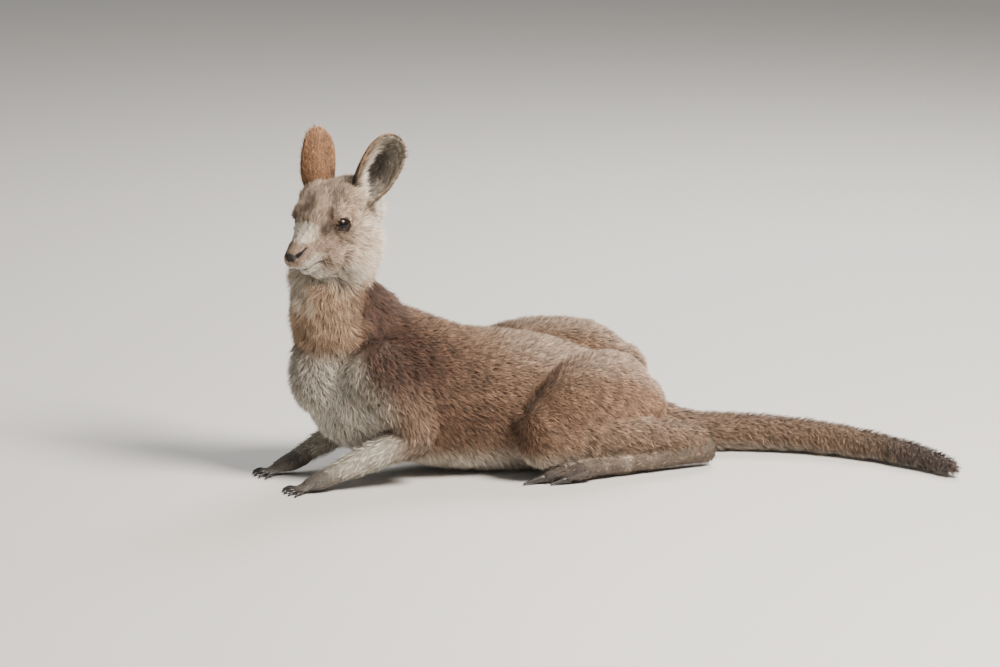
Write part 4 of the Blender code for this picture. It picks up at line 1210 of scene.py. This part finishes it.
def groomed(points, plain, region, length):
    """Length of the hair (cm) and how thickly tufts stand: short on muzzle and lids, fuller on the cheeks
    and behind them, and none on bare skin or inside the cups of the ears."""
    head = region[REGIONS.index("head")]
    places = to_head(plain)
    f, l, u = places[:, 0], np.abs(places[:, 1]), places[:, 2]
    nostril, mouth, pad, tip, lid = face_masks(places)
    lips = smooth_step(f, 2.6, 4.0) * fading(u, -1.3, -0.6) * smooth_step(u, -2.6, -2.2)
    length = length * (1.0 - 0.72 * head * smooth_step(f, 0.8, 4.6))
    length *= 1.0 - head * np.maximum(0.5 * lips, 0.5 * pad)
    length *= 1.0 - 0.45 * head * np.clip(sided(places, (0.6, 2.9, 0.3), (1.5, 1.2, 1.3)), 0, 1)
    cheek = smooth_step(-f, -1.5, 1.5) * smooth_step(l, 1.4, 3.0) * smooth_step(-u, -0.6, 1.5)
    chin = smooth_step(-u, 2.4, 3.4) * fading(f, 4.0, 6.0)
    length *= 1.0 + head * np.maximum(0.7 * cheek, 1.1 * chin)
    length *= 1.0 + 0.1 * ripple(points, 0.02, 7)
    bare = (smooth_step(nostril, 0.08, 0.25), smooth_step(mouth, 0.1, 0.3), tip, smooth_step(lid, 0.2, 0.6))
    weight = 1.0 - np.maximum.reduce(bare) * (np.linalg.norm(places, axis=1) < HEAD_REACH)
    for side in (1.0, -1.0):
        away, tilt, turn = eye_polar(to_head(points), side)
        weight[(away < EYE_RADIUS + 0.25) & (tilt < lid_reach(turn) + 7.0)] = 0.0
        weight[in_ear_cup(points, side)] = 0.0
    weight[points[:, 2] < UNDERSIDE] *= 0.25
    return length, weight


def in_ear_cup(points, side):
    """Whether each point lies in the hollow of an ear: a box along its axis, as wide as the cup."""
    along, opening, across = ear_axes(side)
    rel = points - from_head(on_side(EAR_ROOT, side))
    up, wide, deep = rel @ along / CM, rel @ across / CM, rel @ opening / CM
    return (up > 0.35) & (up < EAR_LENGTH) & (np.abs(wide) < 1.25) & (deep > -1.5) & (deep < 1.2)


# ---------------------------------------------------------------- all of it
PIECES = {    # coat piece: thousands of triangles, hairs to a tuft, slot
    "coat_face": (198, 4, "face_coat"),
    "coat_crown": (150, 4, "face_coat"),
    "coat_ears": (110, 4, "ear_coat"),
    "coat_throat": (198, 4, "pale_coat"),
    "coat_trunk_left": (198, 3, "grey_coat"),
    "coat_trunk_right": (140, 3, "grey_coat"),
    "coat_thigh_left": (180, 3, "grey_coat"),
    "coat_thigh_right": (120, 3, "grey_coat"),
    "coat_limbs": (112, 4, "paw_coat"),
    "coat_tail": (92, 4, "grey_coat"),
}


def piece_of(points, region, ear):
    """Which coat piece each point grows."""
    name = np.array(REGIONS)[region.argmax(0)]
    f = to_head(points)[:, 0]
    left = points[:, 0] > 0.001
    made = np.full(len(points), "coat_limbs", dtype="<U20")
    made[name == "head"] = np.where(f[name == "head"] > -0.6, "coat_face", "coat_crown")
    made[name == "neck"] = "coat_throat"
    made[name == "tail"] = "coat_tail"
    for part in ("trunk", "thigh"):
        made[name == part] = np.where(left[name == part], f"coat_{part}_left", f"coat_{part}_right")
    made[ear] = "coat_ears"
    return made


def body_shape():
    """The body's masses, and the one skin over them before the face has its features."""
    masses = [("head", 1.0, head_mass())] + body_masses()
    parts = [tube_mesh(made) for _, _, made in masses]
    for f, l, u, *radii in HEAD_BALLS.values():
        for side in (1.0, -1.0) if l else (1.0,):
            inner = np.array(radii) - COAT["head"][0]
            parts.append(ball_mesh(from_head((f, l * side, u)), inner, HEAD)[:2])
    points, faces = fused_body(parts)
    return masses, settled(calmed(relaxed(points, faces, 8), faces)), faces


def body_growth(plain, faces, region, flow):
    """The skin with the face's features, and how hair grows at each of its points."""
    normals = normals_of(plain, faces)
    points = faced(plain, normals)
    length, weight = groomed(points, plain, region, region.T @ COAT_TABLE[:, 1])
    return points, {
        "normal": normals_of(points, faces), "flow": combed(points, normals, region, flow),
        "colour": markings(plain, normals, region), "length": length, "weight": weight,
    }


def ear_growth(points, faces, ear):
    """How hair grows on an ear: to its tip, and in the cup also out, over the edges, and longer on the edge
    nearer to the middle of the head."""
    normals = normals_of(points, faces)
    share, inside = ear["share"], ear["inside"]
    edge = inside * smooth_step(ear["front"], 0.2, 0.6) * fading(share, 0.55, 0.85)
    bend = inside * (0.6 * ear["column"] - 1.5 * edge * ear["sign"]) + 0.3 * ripple(points, 0.01, 8)
    return {
        "normal": normals,
        "flow": ear["along"] + ear["across"] * bend[:, None] + 0.35 * normals * inside[:, None],
        "colour": ear_markings(ear), "length": 0.34 * (1.0 + 1.7 * edge + 1.1 * inside),
        "weight": np.where(share < 0.05, 0.3, 1.0) * (1.0 - 0.35 * inside),
    }


def build():
    """The skin, the coat and all that stands in it, each a piece of its own."""
    rng = np.random.default_rng(SEED)
    masses, plain, faces = body_shape()
    flow, region, nearest = coat_field(plain, masses)
    region = with_head_balls(plain, region)
    points, growth = body_growth(plain, faces, region, flow)
    count = len(points)

    # The ears join the skin as sheets whose roots stand inside the head.
    ears, fields = [], [growth]
    for side in (1.0, -1.0):
        ear_points, ear_faces, ear = ear_mesh(side)
        ears.append(ear)
        fields.append(ear_growth(ear_points, ear_faces, ear))
        faces = np.vstack([faces, ear_faces + len(points)])
        points = np.vstack([points, ear_points])
    is_ear = np.arange(len(points)) >= count
    ear_region = np.zeros((len(REGIONS), is_ear.sum()))
    ear_region[REGIONS.index("ear")] = 1.0
    region = np.hstack([region, ear_region])
    piece = piece_of(points, region, is_ear)
    nearest = np.concatenate([nearest, np.full(is_ear.sum(), -1)])
    field = {key: np.concatenate([one[key] for one in fields]) for key in growth}
    _, _, spread, width, rise, lie = (region.T @ COAT_TABLE).T
    field.update(at=points, length=field["length"] * CM, spread=spread * MM, width=width * MM)
    field.update(rise=rise, lie=lie)

    skin = new_mesh("skin", points, faces)
    paint(skin, field["colour"] * UNDER_TONE)
    flesh = [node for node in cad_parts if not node.startswith(("eye_", "claw_"))]
    finish_piece(skin, look("Skin", 0.75, 900.0, 0.0006, speck=0.2), flesh)

    fur = look("Fur", 0.66, Specular_IOR_Level=0.2, Sheen_Weight=0.06, Sheen_Roughness=0.5)
    for name, (thousands, hairs, slot) in PIECES.items():
        tufts = int(thousands * 1000 / hairs / (2 * BENDS + 1))
        own = faces[piece[faces[:, 0]] == name]
        corners, shares = scattered(points, own, field["weight"], tufts, rng)
        keep = at(field["weight"], corners, shares) > BARE_UNDER
        corners, shares = corners[keep], shares[keep]
        roots = {key: at(values, corners, shares) for key, values in field.items()}
        roots["normal"] = unit(roots["normal"])
        if name == "coat_ears":
            place = ear_places(corners - count, shares, ears)
        else:
            place = unwrapped(roots["at"], nearest[corners[:, 0]], masses)
        finish_piece(coat(name, roots, hairs, place, rng), fur)

    for side, word in ((1.0, "left"), (-1.0, "right")):
        wet = look(f"Eye {word}", 0.2, Specular_IOR_Level=0.2, Coat_Weight=0.06, Coat_Roughness=0.08)
        finish_piece(eye_piece(side), wet, [f"eye_{word}"])
        lid = look(f"Lid {word}", 0.62, 1500.0, 0.0002, colour=LID_BLACK, Specular_IOR_Level=0.2)
        finish_piece(lid_piece(side), lid)
    finish_piece(whisker_piece(rng), look("Whisker", 0.4, colour=(0.03, 0.025, 0.022)))
    horn = look("Claw horn", 0.36, 700.0, 0.0002, colour=(0.035, 0.03, 0.028), speck=0.3)
    for name, made in claw_pieces():
        finish_piece(new_mesh(f"horn_{name}", *tube_mesh(made)), horn, [name])


# ---------------------------------------------------------------- floor, light, camera
VIEW_TURN, VIEW_RISE = 68.0, 12.0
VIEW_DISTANCE = 8.0
VIEW_AT = (0.01848, 0.14402)         # metres across and up from the origin to the middle of the view
VIEW_WIDTH = 10.0 / 9.2              # metres that the frame spans
SENSOR = 36.0                        # millimetres
LIT_AT = (0.0, -0.02, 0.12)          # where the lamps are aimed
LAMPS = {    # across, up and toward the view from the origin, size (metres), watts, colour
    "key": (1.35, 2.1, 1.3, 0.95, 186.0, (1.0, 0.92, 0.82)),
    "fill": (-1.6, 1.2, 1.8, 1.8, 3.0, (0.88, 0.94, 1.0)),
    "rim": (0.6, 1.6, -1.5, 1.0, 40.0, (1.0, 0.96, 0.92)),
}
SKY = ((0.86, 0.89, 0.92, 1.0), 0.18)    # colour and strength of the light from all round
FLOOR_HALF = 9.0                     # metres


def view_axes():
    """Right, up and back (from the body to the camera) of the view."""
    turn, rise = math.radians(VIEW_TURN), math.radians(VIEW_RISE)
    flat = np.array((math.sin(turn), -math.cos(turn), 0.0))
    back = flat * math.cos(rise) + np.array((0.0, 0.0, math.sin(rise)))
    right = np.array((math.cos(turn), math.sin(turn), 0.0))
    return right, np.cross(back, right), back


def camera_piece():
    """The camera of the main view: a long lens on a 36 mm sensor."""
    right, up, back = view_axes()
    data = bpy.data.cameras.new("view")
    data.sensor_width = SENSOR
    data.lens = SENSOR * VIEW_DISTANCE / VIEW_WIDTH
    data.clip_end = 100.0
    obj = bpy.data.objects.new("view", data)
    bpy.context.scene.collection.objects.link(obj)
    obj.location = tuple(right * VIEW_AT[0] + up * VIEW_AT[1] + back * VIEW_DISTANCE)
    obj.rotation_mode = "QUATERNION"
    obj.rotation_quaternion = Vector(back).to_track_quat("Z", "Y")
    bpy.context.scene.camera = obj


def lamp(name, across, up, toward, size, watts, colour):
    """A soft square lamp placed in the view's own directions and aimed at the body."""
    right, _, back = view_axes()
    flat = unit(back * (1, 1, 0))
    data = bpy.data.lights.new(name, "AREA")
    data.shape = "SQUARE"
    data.size = size
    data.energy = watts
    data.color = colour
    obj = bpy.data.objects.new(name, data)
    bpy.context.scene.collection.objects.link(obj)
    place = right * across + np.array((0, 0, 1.0)) * up + flat * toward
    obj.location = tuple(place)
    aim = Vector(LIT_AT) - Vector(place)
    obj.rotation_mode = "QUATERNION"
    obj.rotation_quaternion = aim.to_track_quat("-Z", "Y")


def studio():
    """A plain floor a little under the feet, three lamps and an even sky."""
    corners = np.array(((-1, -1), (1, -1), (1, 1), (-1, 1))) * FLOOR_HALF
    floor = new_mesh("floor", np.column_stack([corners, np.full(4, -0.0002)]), np.array([[0, 1, 2, 3]]))
    floor.data.materials.append(look("Floor", 0.9, colour=(0.72, 0.71, 0.69)))
    for name, settings in LAMPS.items():
        lamp(name, *settings)
    world = bpy.data.worlds.new("studio")
    world.use_nodes = True
    filled(world.node_tree.nodes["Background"], Color=SKY[0], Strength=SKY[1])
    bpy.context.scene.world = world


build()
studio()
camera_piece()
